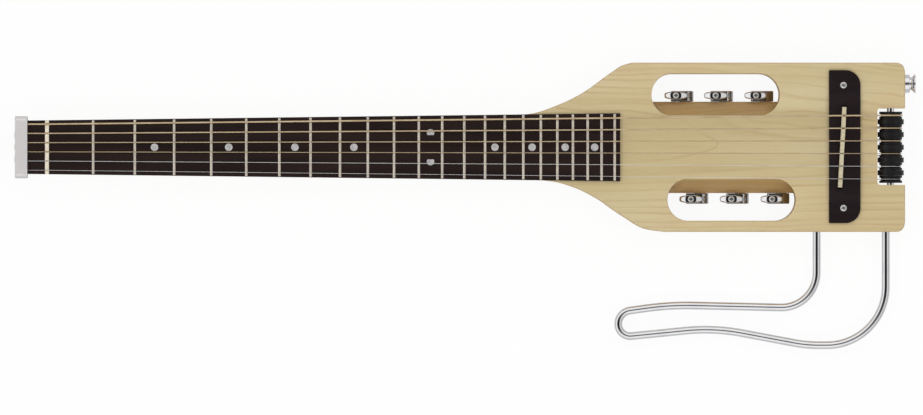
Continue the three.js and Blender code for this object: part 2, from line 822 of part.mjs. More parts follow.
// One fret: a low crown that follows the board's curve, with its bed in the board
function fret(number) {
  const x = fretX(number);
  const half = boardHalfWidth(x) - fretInset;
  const spans = 3;
  const rings = range(spans + 1).map((k) => {
    const y = lerp(-half, half, k / spans);
    const top = boardTopZ - arcDrop(y);
    const profile = [
      [-fretWidth / 2, -fretBed],
      [-fretWidth / 4, fretHeight],
      [fretWidth / 4, fretHeight],
      [fretWidth / 2, -fretBed],
    ];
    return profile.map(([dx, dz]) => vector(x + dx, y, top + dz));
  });
  return loft(rings);
}

function fingerboard() {
  const board = loft([neckEndX, boardEndX].map(boardSection));
  const slotHalf = nutWidth;
  const nutSlot = block(
    vector(-nutLength - seam, -slotHalf, nutSlotFloorZ),
    vector(seam, slotHalf, boardTopZ + overrun),
  );
  const frets = range(fretCount).map((k) => fret(k + 1));
  return join(cut(board, nutSlot), ...frets);
}

function nut() {
  const half = nutWidth / 2;
  const steps = 6;
  const crown = range(steps + 1).map((k) => {
    const y = lerp(half, -half, k / steps);
    return [y, boardTopZ - arcDrop(y) + nutAboveBoard];
  });
  const floor = nutSlotFloorZ + seam;
  const blank = drawOut(polygon([...crown, [-half, floor], [half, floor]]), 'x', -nutLength, 0);
  const grooves = range(stringCount).map((index) => {
    const radius = radiusOf(index) + runningGap;
    const z = nutStringZ - arcDrop(nutY(index)) + radiusOf(index);
    const groove = join(
      rod(radius, 'x', -nutLength - overrun, overrun, 8),
      block(vector(-nutLength - overrun, -radius, 0), vector(overrun, radius, nutAboveBoard)),
    );
    return groove.translate(0, nutY(index), z);
  });
  return cut(blank, ...grooves);
}

function trussRod() {
  const top = faceZ - runningGap;
  const half = trussWidth / 2;
  const profile = roundedRectangle(-half, half, top - trussHeight, top, trussWidth / 10, 1);
  const bar = drawOut(profile, 'x', trussFromNut, heelEndX - trussEndFromHeel);
  const nutZ = top - trussHeight / 2;
  const barrel = rod(trussNutRadius, 'x', trussFromNut, trussFromNut + trussNutLength, 12);
  return join(bar, barrel.translate(0, 0, nutZ));
}

// Head piece and its screws

function headScrewYs() {
  return range(headScrewCount).map((k) => (k - (headScrewCount - 1) / 2) * headScrewPitch);
}

function headPiece() {
  const half = nutWidth / 2 + headPastNeckSide;
  const top = boardTopZ + headTopAboveBoard;
  const bottom = faceZ - neckWoodAtNut - headBelowNeck;
  const shoulder = faceZ - neckSideLand;
  const corner = headCornerRadius;
  const bellySteps = 8;
  const belly = range(bellySteps - 1).map((k) => {
    const angle = Math.PI * (k + 1) / bellySteps;
    return [-half * Math.cos(angle), shoulder - (shoulder - bottom) * Math.sin(angle)];
  });
  const outline = polygon([
    [half, shoulder],
    ...arc(half - corner, top - corner, corner, 0, Math.PI / 2, 3),
    ...arc(-half + corner, top - corner, corner, Math.PI / 2, Math.PI, 3),
    [-half, shoulder],
    ...belly,
  ]);
  const innerX = neckEndX - seam;
  const outerX = innerX - headLength;
  const blank = drawOut(outline, 'x', outerX, innerX, { bevel: headEdge, bevelSegments: 1 });
  const tools = [];
  range(stringCount).forEach((index) => {
    const hole = rod(radiusOf(index) + runningGap, 'x', outerX - overrun, innerX + overrun, 6);
    const pocket = rod(ballRadius + ballPocketGap, 'x', outerX - overrun, outerX + ballPocketDepth, 8);
    tools.push(hole.translate(0, nutY(index), headHoleZ(index)));
    tools.push(pocket.translate(0, nutY(index), headHoleZ(index)));
  });
  headScrewYs().forEach((y) => {
    const seat = outerX - headScrewStandOff + headScrewHeadHeight + seam;
    const pocket = rod(headScrewHeadRadius + runningGap, 'x', outerX - overrun, seat, 12);
    const hole = rod(headScrewRadius + runningGap, 'x', outerX - overrun, innerX + overrun, 8);
    tools.push(pocket.translate(0, y, headScrewZ), hole.translate(0, y, headScrewZ));
  });
  return cut(blank, ...tools);
}

function headScrew() {
  const chamfer = headScrewHeadHeight / 4;
  return outward(turn([
    [0, 0],
    [headScrewHeadRadius - chamfer, 0],
    [headScrewHeadRadius, chamfer],
    [headScrewHeadRadius, headScrewHeadHeight],
    [headScrewRadius, headScrewHeadHeight],
    [headScrewRadius, headScrewLength],
    [0, headScrewLength],
  ], 'x', 8));
}

// Tuning machines: x from the button's axis, y out from the wall, z from the back

function gearHousing() {
  const low = gearZ - housingHalfHeight;
  const high = gearZ + housingHalfHeight;
  const corner = housingCorner;
  const cornerX = -housingBehindButton + corner;
  const outline = polygon([
    ...arc(wormToGear, gearZ, housingHalfHeight, -Math.PI / 2, Math.PI / 2, 7),
    ...arc(cornerX, high - corner, corner, Math.PI / 2, Math.PI, 1),
    ...arc(cornerX, low + corner, corner, Math.PI, Math.PI * 1.5, 1),
  ]);
  const shell = drawOut(outline, 'y', seam, housingThickness, { bevel: housingEdge, bevelSegments: 1 });
  const bushingEnd = -tunerWallThickness + seam;
  const bushing = rod(bushingRadius, 'y', bushingEnd, seam * 2 + housingEdge, 10)
    .translate(wormToGear, 0, gearZ);
  const postBore = rod(postRadius + runningGap, 'y', -tunerWallY, gearY, 12)
    .translate(wormToGear, 0, gearZ);
  const chamberHalf = gearWidth / 2 + runningGap;
  const chamber = rod(gearTipRadius + runningGap, 'y', gearY - chamberHalf, gearY + chamberHalf, 12)
    .translate(wormToGear, 0, gearZ);
  const wormHalf = threadPitch * threadTurns / 2 + runningGap * 2;
  const wormBore = rod(wormOuterRadius + runningGap, 'z', gearZ - wormHalf, gearZ + wormHalf, 8);
  const shaftBore = rod(wormCoreRadius + runningGap, 'z', gearZ, high + overrun, 8);
  return cut(
    join(shell, bushing),
    postBore,
    chamber,
    wormBore.translate(0, gearY, 0),
    shaftBore.translate(0, gearY, 0),
  );
}

// String post with its worm wheel
function stringPost() {
  const step = Math.PI * 2 / gearTeeth;
  const rim = range(gearTeeth).flatMap((tooth) => {
    const middle = Math.PI + step * (tooth + toothStaggerShare);
    const root = step * toothRootShare / 2;
    const tip = step * toothTipShare / 2;
    return [
      [gearRootRadius, middle - root], [gearTipRadius, middle - tip],
      [gearTipRadius, middle + tip], [gearRootRadius, middle + root],
    ];
  });
  const wheelOutline = polygon(rim.map(([r, angle]) => [r * Math.cos(angle), r * Math.sin(angle)]));
  const wheel = drawOut(wheelOutline, 'y', gearY - gearWidth / 2, gearY + gearWidth / 2);
  const waistRadius = postRadius - postWaistDepth;
  const waistStart = -tunerWallThickness - postRim / 2;
  const tipY = -postReach;
  const shaft = turn([
    [0, tipY],
    [postRadius, tipY],
    [postRadius, tipY + postRim],
    [waistRadius, tipY + postRim],
    [waistRadius, waistStart],
    [postRadius, waistStart],
    [postRadius, gearY],
    [0, gearY],
  ], 'y', 8);
  return join(wheel, shaft).translate(wormToGear, 0, gearZ);
}

// Thread of the worm: a trapezium wound along its core
function wormThread() {
  const steps = threadTurns * threadStepsPerTurn;
  const rootRadius = wormCoreRadius - (wormOuterRadius - wormCoreRadius) / 4;
  const rings = range(steps + 1).map((k) => {
    const turns = k / threadStepsPerTurn - threadTurns / 2;
    const angle = Math.PI * 2 * turns;
    const z = threadPitch * turns;
    const corner = (radius, lift) => vector(Math.cos(angle) * radius, Math.sin(angle) * radius, z + lift);
    return [
      corner(rootRadius, -threadRootWidth / 2),
      corner(wormOuterRadius, -threadCrestWidth / 2),
      corner(wormOuterRadius, threadCrestWidth / 2),
      corner(rootRadius, threadRootWidth / 2),
    ];
  });
  return loft(rings);
}

// Button with its shaft and worm: an oval as seen from the face of the button, a bow as seen end on
function tuningButton() {
  const top = buttonBaseZ + buttonHeight;
  const half = buttonWidth / 2;
  const face = new THREE.Shape();
  face.absellipse(0, buttonBaseZ + buttonHeight / 2, half, buttonHeight / 2, 0, Math.PI * 2, false, 0);
  const oval = drawOut(face, 'y', -buttonThickness, buttonThickness, { curveSegments: 8 });
  const quarter = buttonEndShares.map(([wide, thick]) => [wide * half, thick * buttonThickness / 2]);
  const upper = [...quarter, ...quarter.slice(0, -1).reverse().map(([x, y]) => [-x, y])];
  const lower = upper.map(([x, y]) => [-x, -y]);
  const bow = drawOut(polygon([...upper, ...lower]), 'z', buttonBaseZ - overrun, top - buttonTopFlat);
  const screwSeat = rod(buttonScrewRadius + seam, 'z', top - buttonScrewHeight, top + overrun, 10);
  const paddle = cut(common(oval, bow), screwSeat);
  const threadHalf = threadPitch * threadTurns / 2 + runningGap;
  const spindle = turn([
    [0, gearZ - threadHalf],
    [wormCoreRadius, gearZ - threadHalf],
    [wormCoreRadius, gearZ + housingHalfHeight + runningGap],
    [buttonNeckRadius, gearZ + housingHalfHeight + runningGap],
    [buttonNeckRadius, buttonBaseZ + buttonHeight / 4],
    [0, buttonBaseZ + buttonHeight / 4],
  ], 'z', 10);
  const screwHole = rod(buttonScrewShank + runningGap, 'z', top - buttonScrewLength, top + overrun, 8);
  return cut(join(paddle, spindle, wormThread().translate(0, 0, gearZ)), screwHole);
}

function buttonScrew() {
  const top = buttonBaseZ + buttonHeight;
  const seat = top - buttonScrewHeight + seam;
  const foot = top - buttonScrewLength + seam;
  return outward(turn([
    [0, foot],
    [buttonScrewShank, foot],
    [buttonScrewShank, seat],
    [buttonScrewRadius, seat],
    [buttonScrewRadius, (seat + top) / 2],
    [buttonScrewShank * 2, top],
    [0, top],
  ], 'z', 8));
}

// Roller tailpiece

function axle() {
  const reach = notchHalfWidth + axleSeatDepth;
  return outward(rod(axleRadius, 'y', -reach, reach, 20));
}

// Where a string lies, a groove with sloping sides and a narrow floor
function roller() {
  const half = rollerWidth / 2;
  const bore = rollerBoreRadius;
  return outward(turn([
    [bore, -half],
    [rollerRadius, -half],
    [rollerRadius, -half + rollerRimWidth],
    [rollerGrooveRadius, -rollerFloorWidth / 2],
    [rollerGrooveRadius, rollerFloorWidth / 2],
    [rollerRadius, half - rollerRimWidth],
    [rollerRadius, half],
    [bore, half],
    [bore, -half],
  ], 'y', 14));
}

function spacer() {
  const half = spacerWidth / 2;
  const bore = rollerBoreRadius;
  return outward(turn([
    [bore, -half],
    [spacerRadius, -half],
    [spacerRadius, half],
    [bore, half],
    [bore, -half],
  ], 'y', 14));
}

// Bridge, saddle and pickup

// Long and low: square towards the neck, round towards the tail, its wings thinner than its middle
function bridge() {
  const corner = bridgeCornerRadius;
  const plan = new THREE.Shape();
  plan.moveTo(bridgeStartX, -bridgeTrebleY);
  plan.absarc(bridgeEndX - corner, -bridgeTrebleY + corner, corner, -Math.PI / 2, 0, false);
  plan.absarc(bridgeEndX - corner, bridgeBassY - corner, corner, 0, Math.PI / 2, false);
  plan.lineTo(bridgeStartX, bridgeBassY);
  plan.closePath();
  const floor = faceZ + seam;
  const wingZ = floor + bridgeWingHeight;
  const blank = drawOut(plan, 'z', floor, bridgeTopZ);
  const crownHalf = bridgeCrownHalf;
  const scoopEnd = crownHalf + bridgeScoop;
  const side = new THREE.Shape();
  side.moveTo(-bridgeTrebleY - overrun, floor - overrun);
  side.lineTo(bridgeBassY + overrun, floor - overrun);
  side.lineTo(bridgeBassY + overrun, wingZ);
  side.lineTo(scoopEnd, wingZ);
  side.quadraticCurveTo((scoopEnd + crownHalf) / 2, wingZ, crownHalf, bridgeTopZ + seam);
  side.lineTo(-crownHalf, bridgeTopZ + seam);
  side.quadraticCurveTo(-(scoopEnd + crownHalf) / 2, wingZ, -scoopEnd, wingZ);
  side.lineTo(-bridgeTrebleY - overrun, wingZ);
  side.closePath();
  const body = common(blank, drawOut(side, 'x', bridgeStartX - overrun, bridgeEndX + overrun));
  const slot = saddleBlock(saddleFloorZ, bridgeTopZ + overrun);
  const screwHoles = bridgeScrewYs.map((y) => {
    const hole = rod(bridgeScrewRadius + runningGap, 'z', floor - overrun, bridgeTopZ + overrun, 12);
    return hole.translate(bridgeScrewX, y, 0);
  });
  return cut(body, slot, leadChannel(), ...screwHoles);
}

// Room for the saddle: an upright block on its slanted line
function saddleBlock(lowZ, highZ) {
  const long = saddleLength / 2 + saddleSlotEndGap;
  const thick = saddleThickness / 2 + runningGap;
  return block(vector(-thick, -long, lowZ), vector(thick, long, highZ))
    .rotateZ(-saddleSlant)
    .translate(saddleMidX, 0, 0);
}

// Bone strip whose crown follows the fingerboard's curve under the strings
function saddle() {
  const half = saddleLength / 2;
  const steps = 8;
  const crown = range(steps + 1).map((k) => {
    const y = lerp(half, -half, k / steps);
    return [y, saddleStringZ - arcDrop(y) - runningGap];
  });
  const floor = saddleFloorZ + pickupThickness + seam * 2;
  const strip = drawOut(
    polygon([...crown, [-half, floor], [half, floor]]),
    'x', -saddleThickness / 2, saddleThickness / 2,
  );
  return outward(strip.rotateZ(-saddleSlant).translate(saddleMidX, 0, 0));
}

function pickupStrip() {
  const long = saddleLength / 2 - pickupInset;
  const thick = saddleThickness / 2 - seam;
  const low = saddleFloorZ + seam;
  return outward(block(vector(-thick, -long, low), vector(thick, long, low + pickupThickness))
    .rotateZ(-saddleSlant)
    .translate(saddleMidX, 0, 0));
}

function pickupLead() {
  return outward(evenTube(leadRoute(), leadRadius, 6));
}

function bridgeScrew() {
  const seat = faceZ + seam * 2 + bridgeWingHeight;
  const foot = seat - seam - bridgeScrewLength;
  return outward(turn([
    [0, foot],
    [bridgeScrewRadius, foot + bridgeScrewRadius],
    [bridgeScrewRadius, seat],
    [bridgeScrewHeadRadius, seat],
    [bridgeScrewHeadRadius, seat + bridgeScrewHeadHeight / 2],
    [bridgeScrewHeadRadius / 2, seat + bridgeScrewHeadHeight],
    [0, seat + bridgeScrewHeadHeight],
  ], 'z', 10));
}

// Output socket

function outputSocket() {
  const end = tailX + socketNutLength + seam;
  return outward(turn([
    [socketBoreRadius, tailX - socketLength + seam],
    [socketRadius, tailX - socketLength + seam],
    [socketRadius, end],
    [socketBoreRadius, end],
    [socketBoreRadius, tailX - socketLength + seam],
  ], 'x', 16));
}

function socketNut() {
  const from = tailX + seam;
  const to = tailX + socketNutLength;
  const bore = socketRadius + runningGap;
  return outward(turn([
    [bore, from],
    [socketNutRadius, from],
    [socketNutRadius, to - socketNutChamfer],
    [socketNutRadius - socketNutChamfer, to],
    [bore, to],
    [bore, from],
  ], 'x', 16));
}

function strapFlange() {
  const from = tailX + socketNutLength + seam * 2;
  const waistEnd = from + flangeWaistLength;
  const to = waistEnd + flangeThickness;
  return outward(turn([
    [socketBoreRadius, from],
    [flangeWaistRadius, from],
    [flangeWaistRadius, waistEnd],
    [flangeRadius, waistEnd],
    [flangeRadius, to - flangeEdge],
    [flangeRadius - flangeEdge, to],
    [socketBoreRadius, to],
    [socketBoreRadius, from],
  ], 'x', 16));
}

// Lap rest

function lapRest() {
  const side = -bodyHalfWidth;
  const corners = lapRestShares.map(([along, out], i) => ({
    at: vector(frontLegX - lapRestLength * along, side - lapRestDrop * out, middleZ),
    bend: lapRestBends[i],
  }));
  const route = bentLine([
    { at: vector(frontLegX, side + rodInsertion, middleZ) },
    ...corners,
    { at: vector(rearLegX, side - lapRestDrop, middleZ), bend: rearLegBend },
    { at: vector(rearLegX, side + rodInsertion, middleZ) },
  ]);
  return outward(evenTube(route, rodRadius, rodSides));
}

// The guitar

// The origin lies on the flat back, under the solid wood between the fingerboard and the well
const guitar = new THREE.Group();
guitar.position.x = -(boardEndX + wellStartX) / 2;

function add(name, geometry, material, parent = guitar) {
  const mesh = new THREE.Mesh(geometry, material.clone());
  mesh.name = name;
  parent.add(mesh);
  return mesh;
}

function addTuner(index) {
  const { side, buttonX } = tunerOf(index);
  const number = index + 1;
  const tuner = new THREE.Group();
  tuner.position.set(buttonX, side * tunerWallY, 0);
  guitar.add(tuner);
  const handed = (geometry) => (side > 0 ? geometry : outward(geometry.clone().scale(1, side, 1)));
  add(`tuner_housing_${number}`, handed(tunerForms.housing), chrome, tuner);
  add(`string_post_${number}`, handed(tunerForms.post), steel, tuner);
  const button = new THREE.Group();
  button.position.y = side * buttonFromWall;
  tuner.add(button);
  add(`tuner_button_${number}`, handed(tunerForms.button), chrome, button);
  add(`button_screw_${number}`, handed(tunerForms.screw), steel, button);
}

add('body_neck', bodyAndNeck(), maple);
add('fingerboard', fingerboard(), darkWood);
add('nut', nut(), bone);
add('truss_rod', trussRod(), steel);
add('head_piece', headPiece(), greyMetal);
const headScrewForm = headScrew();
headScrewYs().forEach((y, k) => {
  const screw = add(`head_screw_${k + 1}`, headScrewForm, steel);
  screw.position.set(neckEndX - seam - headLength - headScrewStandOff, y, headScrewZ);
});

range(stringCount).forEach((index) => {
  add(`string_${index + 1}`, stringSolid(index), index < plainStringCount ? steel : bronze);
});

add('bridge', bridge(), darkWood);
add('saddle', saddle(), bone);
add('pickup_strip', pickupStrip(), greyMetal);
add('pickup_lead', pickupLead(), blackPlastic);
const bridgeScrewForm = bridgeScrew();
add('bridge_screw_bass', bridgeScrewForm, steel).position.set(bridgeScrewX, bridgeScrewYs[0], 0);
add('bridge_screw_treble', bridgeScrewForm, steel).position.set(bridgeScrewX, bridgeScrewYs[1], 0);

const tunerForms = {
  housing: gearHousing(),
  post: stringPost(),
  button: tuningButton(),
  screw: buttonScrew(),
};
range(stringCount).forEach(addTuner);

add('roller_axle', axle(), steel).position.set(axleX, 0, axleZ);
const rollerForm = roller();
range(stringCount).forEach((index) => {
  add(`roller_${index + 1}`, rollerForm, blackPlastic).position.set(axleX, rollerY(index), axleZ);
});
const spacerForm = spacer();
range(stringCount - 1).forEach((index) => {
  const y = (rollerY(index) + rollerY(index + 1)) / 2;
  add(`roller_spacer_${index + 1}`, spacerForm, blackPlastic).position.set(axleX, y, axleZ);
});

add('output_socket', outputSocket(), chrome).position.set(0, socketY, socketZ);
add('socket_nut', socketNut(), chrome).position.set(0, socketY, socketZ);
add('strap_flange', strapFlange(), chrome).position.set(0, socketY, socketZ);
add('lap_rest', lapRest(), chrome);

export default guitar;
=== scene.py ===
"""Looks of the travel guitar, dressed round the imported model.

Pieces are drawn in millimetres counted from the nut's playing edge, with the flat back at height zero.
Once a piece is whole, its mesh goes over into the frame's metres.
"""

import math

import bmesh
import bpy
from mathutils import Matrix, Vector

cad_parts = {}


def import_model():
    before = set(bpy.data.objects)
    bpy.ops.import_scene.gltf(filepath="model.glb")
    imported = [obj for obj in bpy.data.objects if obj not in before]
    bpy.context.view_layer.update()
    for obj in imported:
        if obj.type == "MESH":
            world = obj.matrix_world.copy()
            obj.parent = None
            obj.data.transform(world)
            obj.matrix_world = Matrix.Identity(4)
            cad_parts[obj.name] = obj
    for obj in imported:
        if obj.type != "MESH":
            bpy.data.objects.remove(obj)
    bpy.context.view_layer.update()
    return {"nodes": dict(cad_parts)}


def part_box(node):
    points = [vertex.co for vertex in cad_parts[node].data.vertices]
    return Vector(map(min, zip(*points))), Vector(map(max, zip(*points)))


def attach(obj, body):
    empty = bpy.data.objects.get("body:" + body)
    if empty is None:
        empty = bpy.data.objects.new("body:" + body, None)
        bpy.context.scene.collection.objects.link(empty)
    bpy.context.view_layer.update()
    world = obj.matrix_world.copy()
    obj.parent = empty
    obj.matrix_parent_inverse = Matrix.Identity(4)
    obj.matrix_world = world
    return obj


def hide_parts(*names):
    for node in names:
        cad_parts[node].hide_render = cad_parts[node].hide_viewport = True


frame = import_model()

METRE = 1000
SAME_POINT = 0.0005
ON_AXIS = 0.001
TO_FRAME = Matrix.Translation((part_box("nut")[1].x, 0, 0)) @ Matrix.Scale(1 / METRE, 4)

# Clearances
SEAM = 0.2
GAP = 0.3
OVERRUN = 5

# Body and neck
SCALE_LENGTH = 628.65
BODY_DEPTH = 44.45
BODY_HALF_WIDTH = 67.7
TAIL_X = SCALE_LENGTH + 55.95
TAIL_CORNER = 7
BODY_EDGE = 2
NECK_EDGE = 0.4
NECK_END_X = -17
NECK_WOOD_AT_NUT = 15
NECK_WOOD_AT_HEEL = 17.5
NECK_SIDE_LAND = 3
NECK_ROUND_SHARE = 0.92
HEEL_START_X = SCALE_LENGTH - 288.65
HEEL_END_X = HEEL_START_X + 64
BASS_FLARE = {
    "start": SCALE_LENGTH - 248.65,
    "length": 86,
    "shares": [
        (0, 0), (0.1, 0.03), (0.21, 0.1), (0.42, 0.28), (0.58, 0.467),
        (0.76, 0.74), (0.84, 0.855), (0.9, 0.937), (1, 1),
    ],
}
TREBLE_FLARE = {
    "start": SCALE_LENGTH - 233.65,
    "length": 97,
    "shares": [
        (0, 0), (0.13, 0.045), (0.3, 0.18), (0.46, 0.38), (0.58, 0.58),
        (0.7, 0.765), (0.78, 0.885), (0.86, 0.955), (1, 1),
    ],
}
FACE_Z = BODY_DEPTH
MIDDLE_Z = BODY_DEPTH / 2

# Fingerboard, frets and nut
FRET_COUNT = 22
FRETS_PER_OCTAVE = 12
NUT_WIDTH = 43.2
BOARD_END_WIDTH = 54.4
BOARD_PAST_LAST_FRET = 4.36
BOARD_THICKNESS = 6
BOARD_RADIUS = 305
BOARD_TOP_Z = FACE_Z + SEAM + BOARD_THICKNESS
BOARD_EDGE = 0.5
FRET_WIDTH = 2.2
FRET_HEIGHT = 1.0
FRET_INSET = 0.6
NUT_LENGTH = 3.2
NUT_SLOT_Z = BOARD_TOP_Z - 3.4
NUT_ABOVE_BOARD = 2.9
NUT_EDGE = 0.35
DOT_RADIUS = 3
DOT_DEPTH = 1.5
DOT_PROUD = 0.06
SINGLE_DOTS = (3, 5, 7, 9, 15, 17, 19, 21)
DOUBLE_DOT = 12
DOUBLE_DOT_Y = 11.5

# Strings, from the thinnest on the treble side to the thickest on the bass side
STRING_DIAMETERS = (0.3, 0.41, 0.61, 0.81, 1.07, 1.35)
PLAIN_STRINGS = 2
STRING_COUNT = len(STRING_DIAMETERS)
STRING_FROM_NUT_END = 3.2
NUT_PITCH = (NUT_WIDTH - 2 * STRING_FROM_NUT_END) / (STRING_COUNT - 1)
SADDLE_PITCH = 10.1
ROLLER_PITCH = 10.2
PACKED_FRET_HEIGHT = 1.1
NUT_STRING_LIFT = 0.5
TWELFTH_FRET_ACTION = 2.2
NUT_STRING_Z = BOARD_TOP_Z + PACKED_FRET_HEIGHT + NUT_STRING_LIFT
SADDLE_STRING_Z = NUT_STRING_Z + 2 * TWELFTH_FRET_ACTION
BALL_RADIUS = 1.9
BALL_LENGTH = 3
BALL_DEPTH = 0.6
BALL_WAIST = BALL_RADIUS * 0.72
BALL_BORE = BALL_RADIUS * 0.35
BALL_EDGE = 0.25
BALL_RIM = 0.8
BALL_RIM_END = 1.2
WRAP_SHARE = 0.28
TURN_STEPS = 24
WINDING_TURNS = 1.5
WINDING_GAP = 0.5

# Head piece
HEAD_LENGTH = 10
HEAD_X = NECK_END_X - SEAM - HEAD_LENGTH
BALL_X = HEAD_X + BALL_DEPTH
HEAD_PAST_NECK_SIDE = 3.2
HEAD_HALF = NUT_WIDTH / 2 + HEAD_PAST_NECK_SIDE
HEAD_TOP_Z = BOARD_TOP_Z + 4.8
HEAD_LOW_Z = FACE_Z - NECK_WOOD_AT_NUT - 1.5
HEAD_CORNER = 3.5
HEAD_EDGE = 0.8
STRING_HOLE_ABOVE_BOARD = 1.5
BALL_POCKET_RADIUS = BALL_RADIUS + 0.5
BALL_POCKET_DEPTH = 4.6
HEAD_SCREW_Y = (-9.6, 0, 9.6)
HEAD_SCREW_Z = FACE_Z - 6.95
HEAD_SCREW_RADIUS = 2.6
HEAD_SCREW_HEIGHT = 2.8
HEAD_SCREW_RIM = ((0.4, 0), (0.1, 0.12), (0, 0.45))
HEAD_SCREW_RECESS = 1.4
HEAD_SCREW_RECESS_DEPTH = 1.5
HEAD_SCREW_STAND_OFF = 0.7
HEAD_SCREW_SHANK = 1.6
HEAD_SCREW_LENGTH = 18

# Tuner slots and string well
SLOT_LENGTH = 102.4
SLOT_INNER_Y = 25.4
SLOT_OUTER_Y = BODY_HALF_WIDTH - 8.9
BASS_SLOT_X = SCALE_LENGTH - 146.95
TREBLE_SLOT_X = SCALE_LENGTH - 134.15
SLOT_EDGE = 0.9
WALL_Y = 36.6
WALL_THICKNESS = 8.6
WELL_X = SCALE_LENGTH - 131.65
WELL_HALF = WALL_Y - WALL_THICKNESS
WELL_DEPTH = BODY_DEPTH - 10.95
WELL_CORNER = 8
NOTCH_CORNER = 2.5

# Tuning machines
BASS_BUTTON_SHARES = (0.8174, 0.502, 0.1914)
TREBLE_BUTTON_SHARES = (0.8184, 0.5, 0.1836)
BUTTON_FROM_WALL = 4.9
GEAR_Z = 13
GEAR_TEETH = 14
GEAR_TIP = 5.7
TOOTH_HEIGHT = 1
GEAR_WIDTH = 2.6
TOOTH_ROOT_SHARE = 0.42
TOOTH_TIP_SHARE = 0.24
WORM_CORE = 1.6
WORM_OUTER = WORM_CORE + TOOTH_HEIGHT
WORM_TO_GEAR = GEAR_TIP + WORM_CORE + GAP
WORM_ROOM = 3.2
TOOTH_SINK = 0.3
THREAD_PITCH = math.pi * (2 * GEAR_TIP - TOOTH_HEIGHT) / GEAR_TEETH
THREAD_TURNS = 2
THREAD_ROOT = 0.95
THREAD_CREST = 0.5
HOUSING_WALL = 0.8
HOUSING_THICKNESS = BUTTON_FROM_WALL + WORM_OUTER + GAP + HOUSING_WALL
HOUSING_BEHIND = WORM_OUTER + GAP + HOUSING_WALL
HOUSING_HALF_HEIGHT = GEAR_TIP + GAP + HOUSING_WALL
HOUSING_CORNER = 2
HOUSING_EDGE = 0.7
POST_RADIUS = 2.9
POST_WAIST = 0.5
POST_REACH = 16
POST_RIM = 0.9
POST_EDGE = 0.3
POST_WAIST_SLOPE = 0.2
POST_HOLE = 0.85
POST_HOLE_FROM_WALL = 2.4
BUSHING_WALL = 1.2
BUSHING_RADIUS = POST_RADIUS + GAP + BUSHING_WALL
BUSHING_IN_CASE = 1
BUTTON_WIDTH = 18.4
BUTTON_HEIGHT = 15.5
BUTTON_THICKNESS = 6
BUTTON_NECK = 2.9
BUTTON_NECK_EDGE = 0.3
BUTTON_NECK_RINGS = ((1, 0.3), (1, 1.4), (0.78, 1.9), (0.78, 2.6), (1, 3.1))
BUTTON_TOP_FLAT = 0.6
BUTTON_HUB = 4
BUTTON_HUB_EDGE = 0.25
BUTTON_TIP_START = 0.94
BUTTON_SQUARENESS = 0.38
BUTTON_ABOVE_CASE = 4.4
BUTTON_BASE_Z = GEAR_Z + HOUSING_HALF_HEIGHT + BUTTON_ABOVE_CASE
BUTTON_SHARES = ((0, 1), (0.25, 1), (0.5, 0.97), (0.75, 0.84), (0.9, 0.68), (1, 0.5))
BUTTON_TOPS = (
    (0, 1), (0.3, 0.975), (0.45, 0.925), (0.6, 0.858),
    (0.75, 0.772), (0.88, 0.685), (0.95, 0.625), (1, 0.5),
)
BUTTON_SCREW_RADIUS = 2.6
BUTTON_SCREW_HEIGHT = 1.1
BUTTON_SCREW_DOME = ((0, 0.8), (0.15, 0.62), (1.1, 0.05), (1.4, 0))
BUTTON_SCREW_SHANK = 1.1
RECESS_MOUTH = 1.15
RECESS_FOOT = 0.45
BUTTON_SCREW_LENGTH = 6
WALL_TOP_Z = GEAR_Z + HOUSING_HALF_HEIGHT + 0.7
WALL_TOP_BLEND = 0.8

# Roller tailpiece
AXLE_X = SCALE_LENGTH + 44.55
AXLE_Z = FACE_Z - 5.95
AXLE_RADIUS = 2.95
AXLE_SEAT = 6
AXLE_EDGE = 0.4
ROLLER_RADIUS = 9.2
GROOVE_RADIUS = ROLLER_RADIUS - 1.2
ROLLER_WIDTH = 5.5
ROLLER_RIM = 1.4
ROLLER_FLOOR = 1.6
ROLLER_BORE = AXLE_RADIUS + 0.4
ROLLER_SKIRT = 0.25
ROLLER_EDGE = 0.15
ROLLER_RIM_EDGE = 0.1
SPACER_RADIUS = ROLLER_RADIUS + 1.3
SPACER_WIDTH = ROLLER_PITCH - ROLLER_WIDTH - 2 * GAP
NOTCH_X = AXLE_X - SPACER_RADIUS - GAP
NOTCH_HALF = (ROLLER_PITCH * (STRING_COUNT - 1) + ROLLER_WIDTH) / 2 + 1.85
NOTCH_BASS_ROOM = 1.2

# Bridge and saddle
SADDLE_LENGTH = SADDLE_PITCH * (STRING_COUNT - 1) + 2 * 6.95
SADDLE_THICKNESS = 3.4
BASS_COMPENSATION = 7.15
TREBLE_COMPENSATION = 3.65
SADDLE_X = SCALE_LENGTH + (BASS_COMPENSATION + TREBLE_COMPENSATION) / 2
SADDLE_SLANT = math.atan2(BASS_COMPENSATION - TREBLE_COMPENSATION, SADDLE_LENGTH)
SADDLE_PLACE = Matrix.Translation((SADDLE_X, 0, 0)) @ Matrix.Rotation(-SADDLE_SLANT, 4, "Z")
BRIDGE_X = SCALE_LENGTH - 5.05
BRIDGE_LENGTH = 25.2
BRIDGE_CORNER = 12
BRIDGE_TOP_Z = FACE_Z + SEAM + 6.5
BRIDGE_WING_Z = FACE_Z + SEAM + 4.3
BRIDGE_CROWN = SADDLE_LENGTH / 2 + 5.8
BRIDGE_SCOOP = 9
BRIDGE_SCOOP_LEAD = 0.5
BRIDGE_BASS_Y = BRIDGE_CROWN + BRIDGE_SCOOP + 14.7
BRIDGE_TREBLE_Y = BRIDGE_CROWN + BRIDGE_SCOOP + 13.7
BRIDGE_EDGE = 0.7
SADDLE_FLOOR_Z = BRIDGE_TOP_Z - 4
SADDLE_END_GAP = 1.3
SADDLE_END_ROUND = 0.8
SADDLE_CROWN = 0.5
PICKUP_THICKNESS = 1
SCREW_X = BRIDGE_X + 11.6
SCREW_YS = (BRIDGE_BASS_Y - 12.1, 12.1 - BRIDGE_TREBLE_Y)
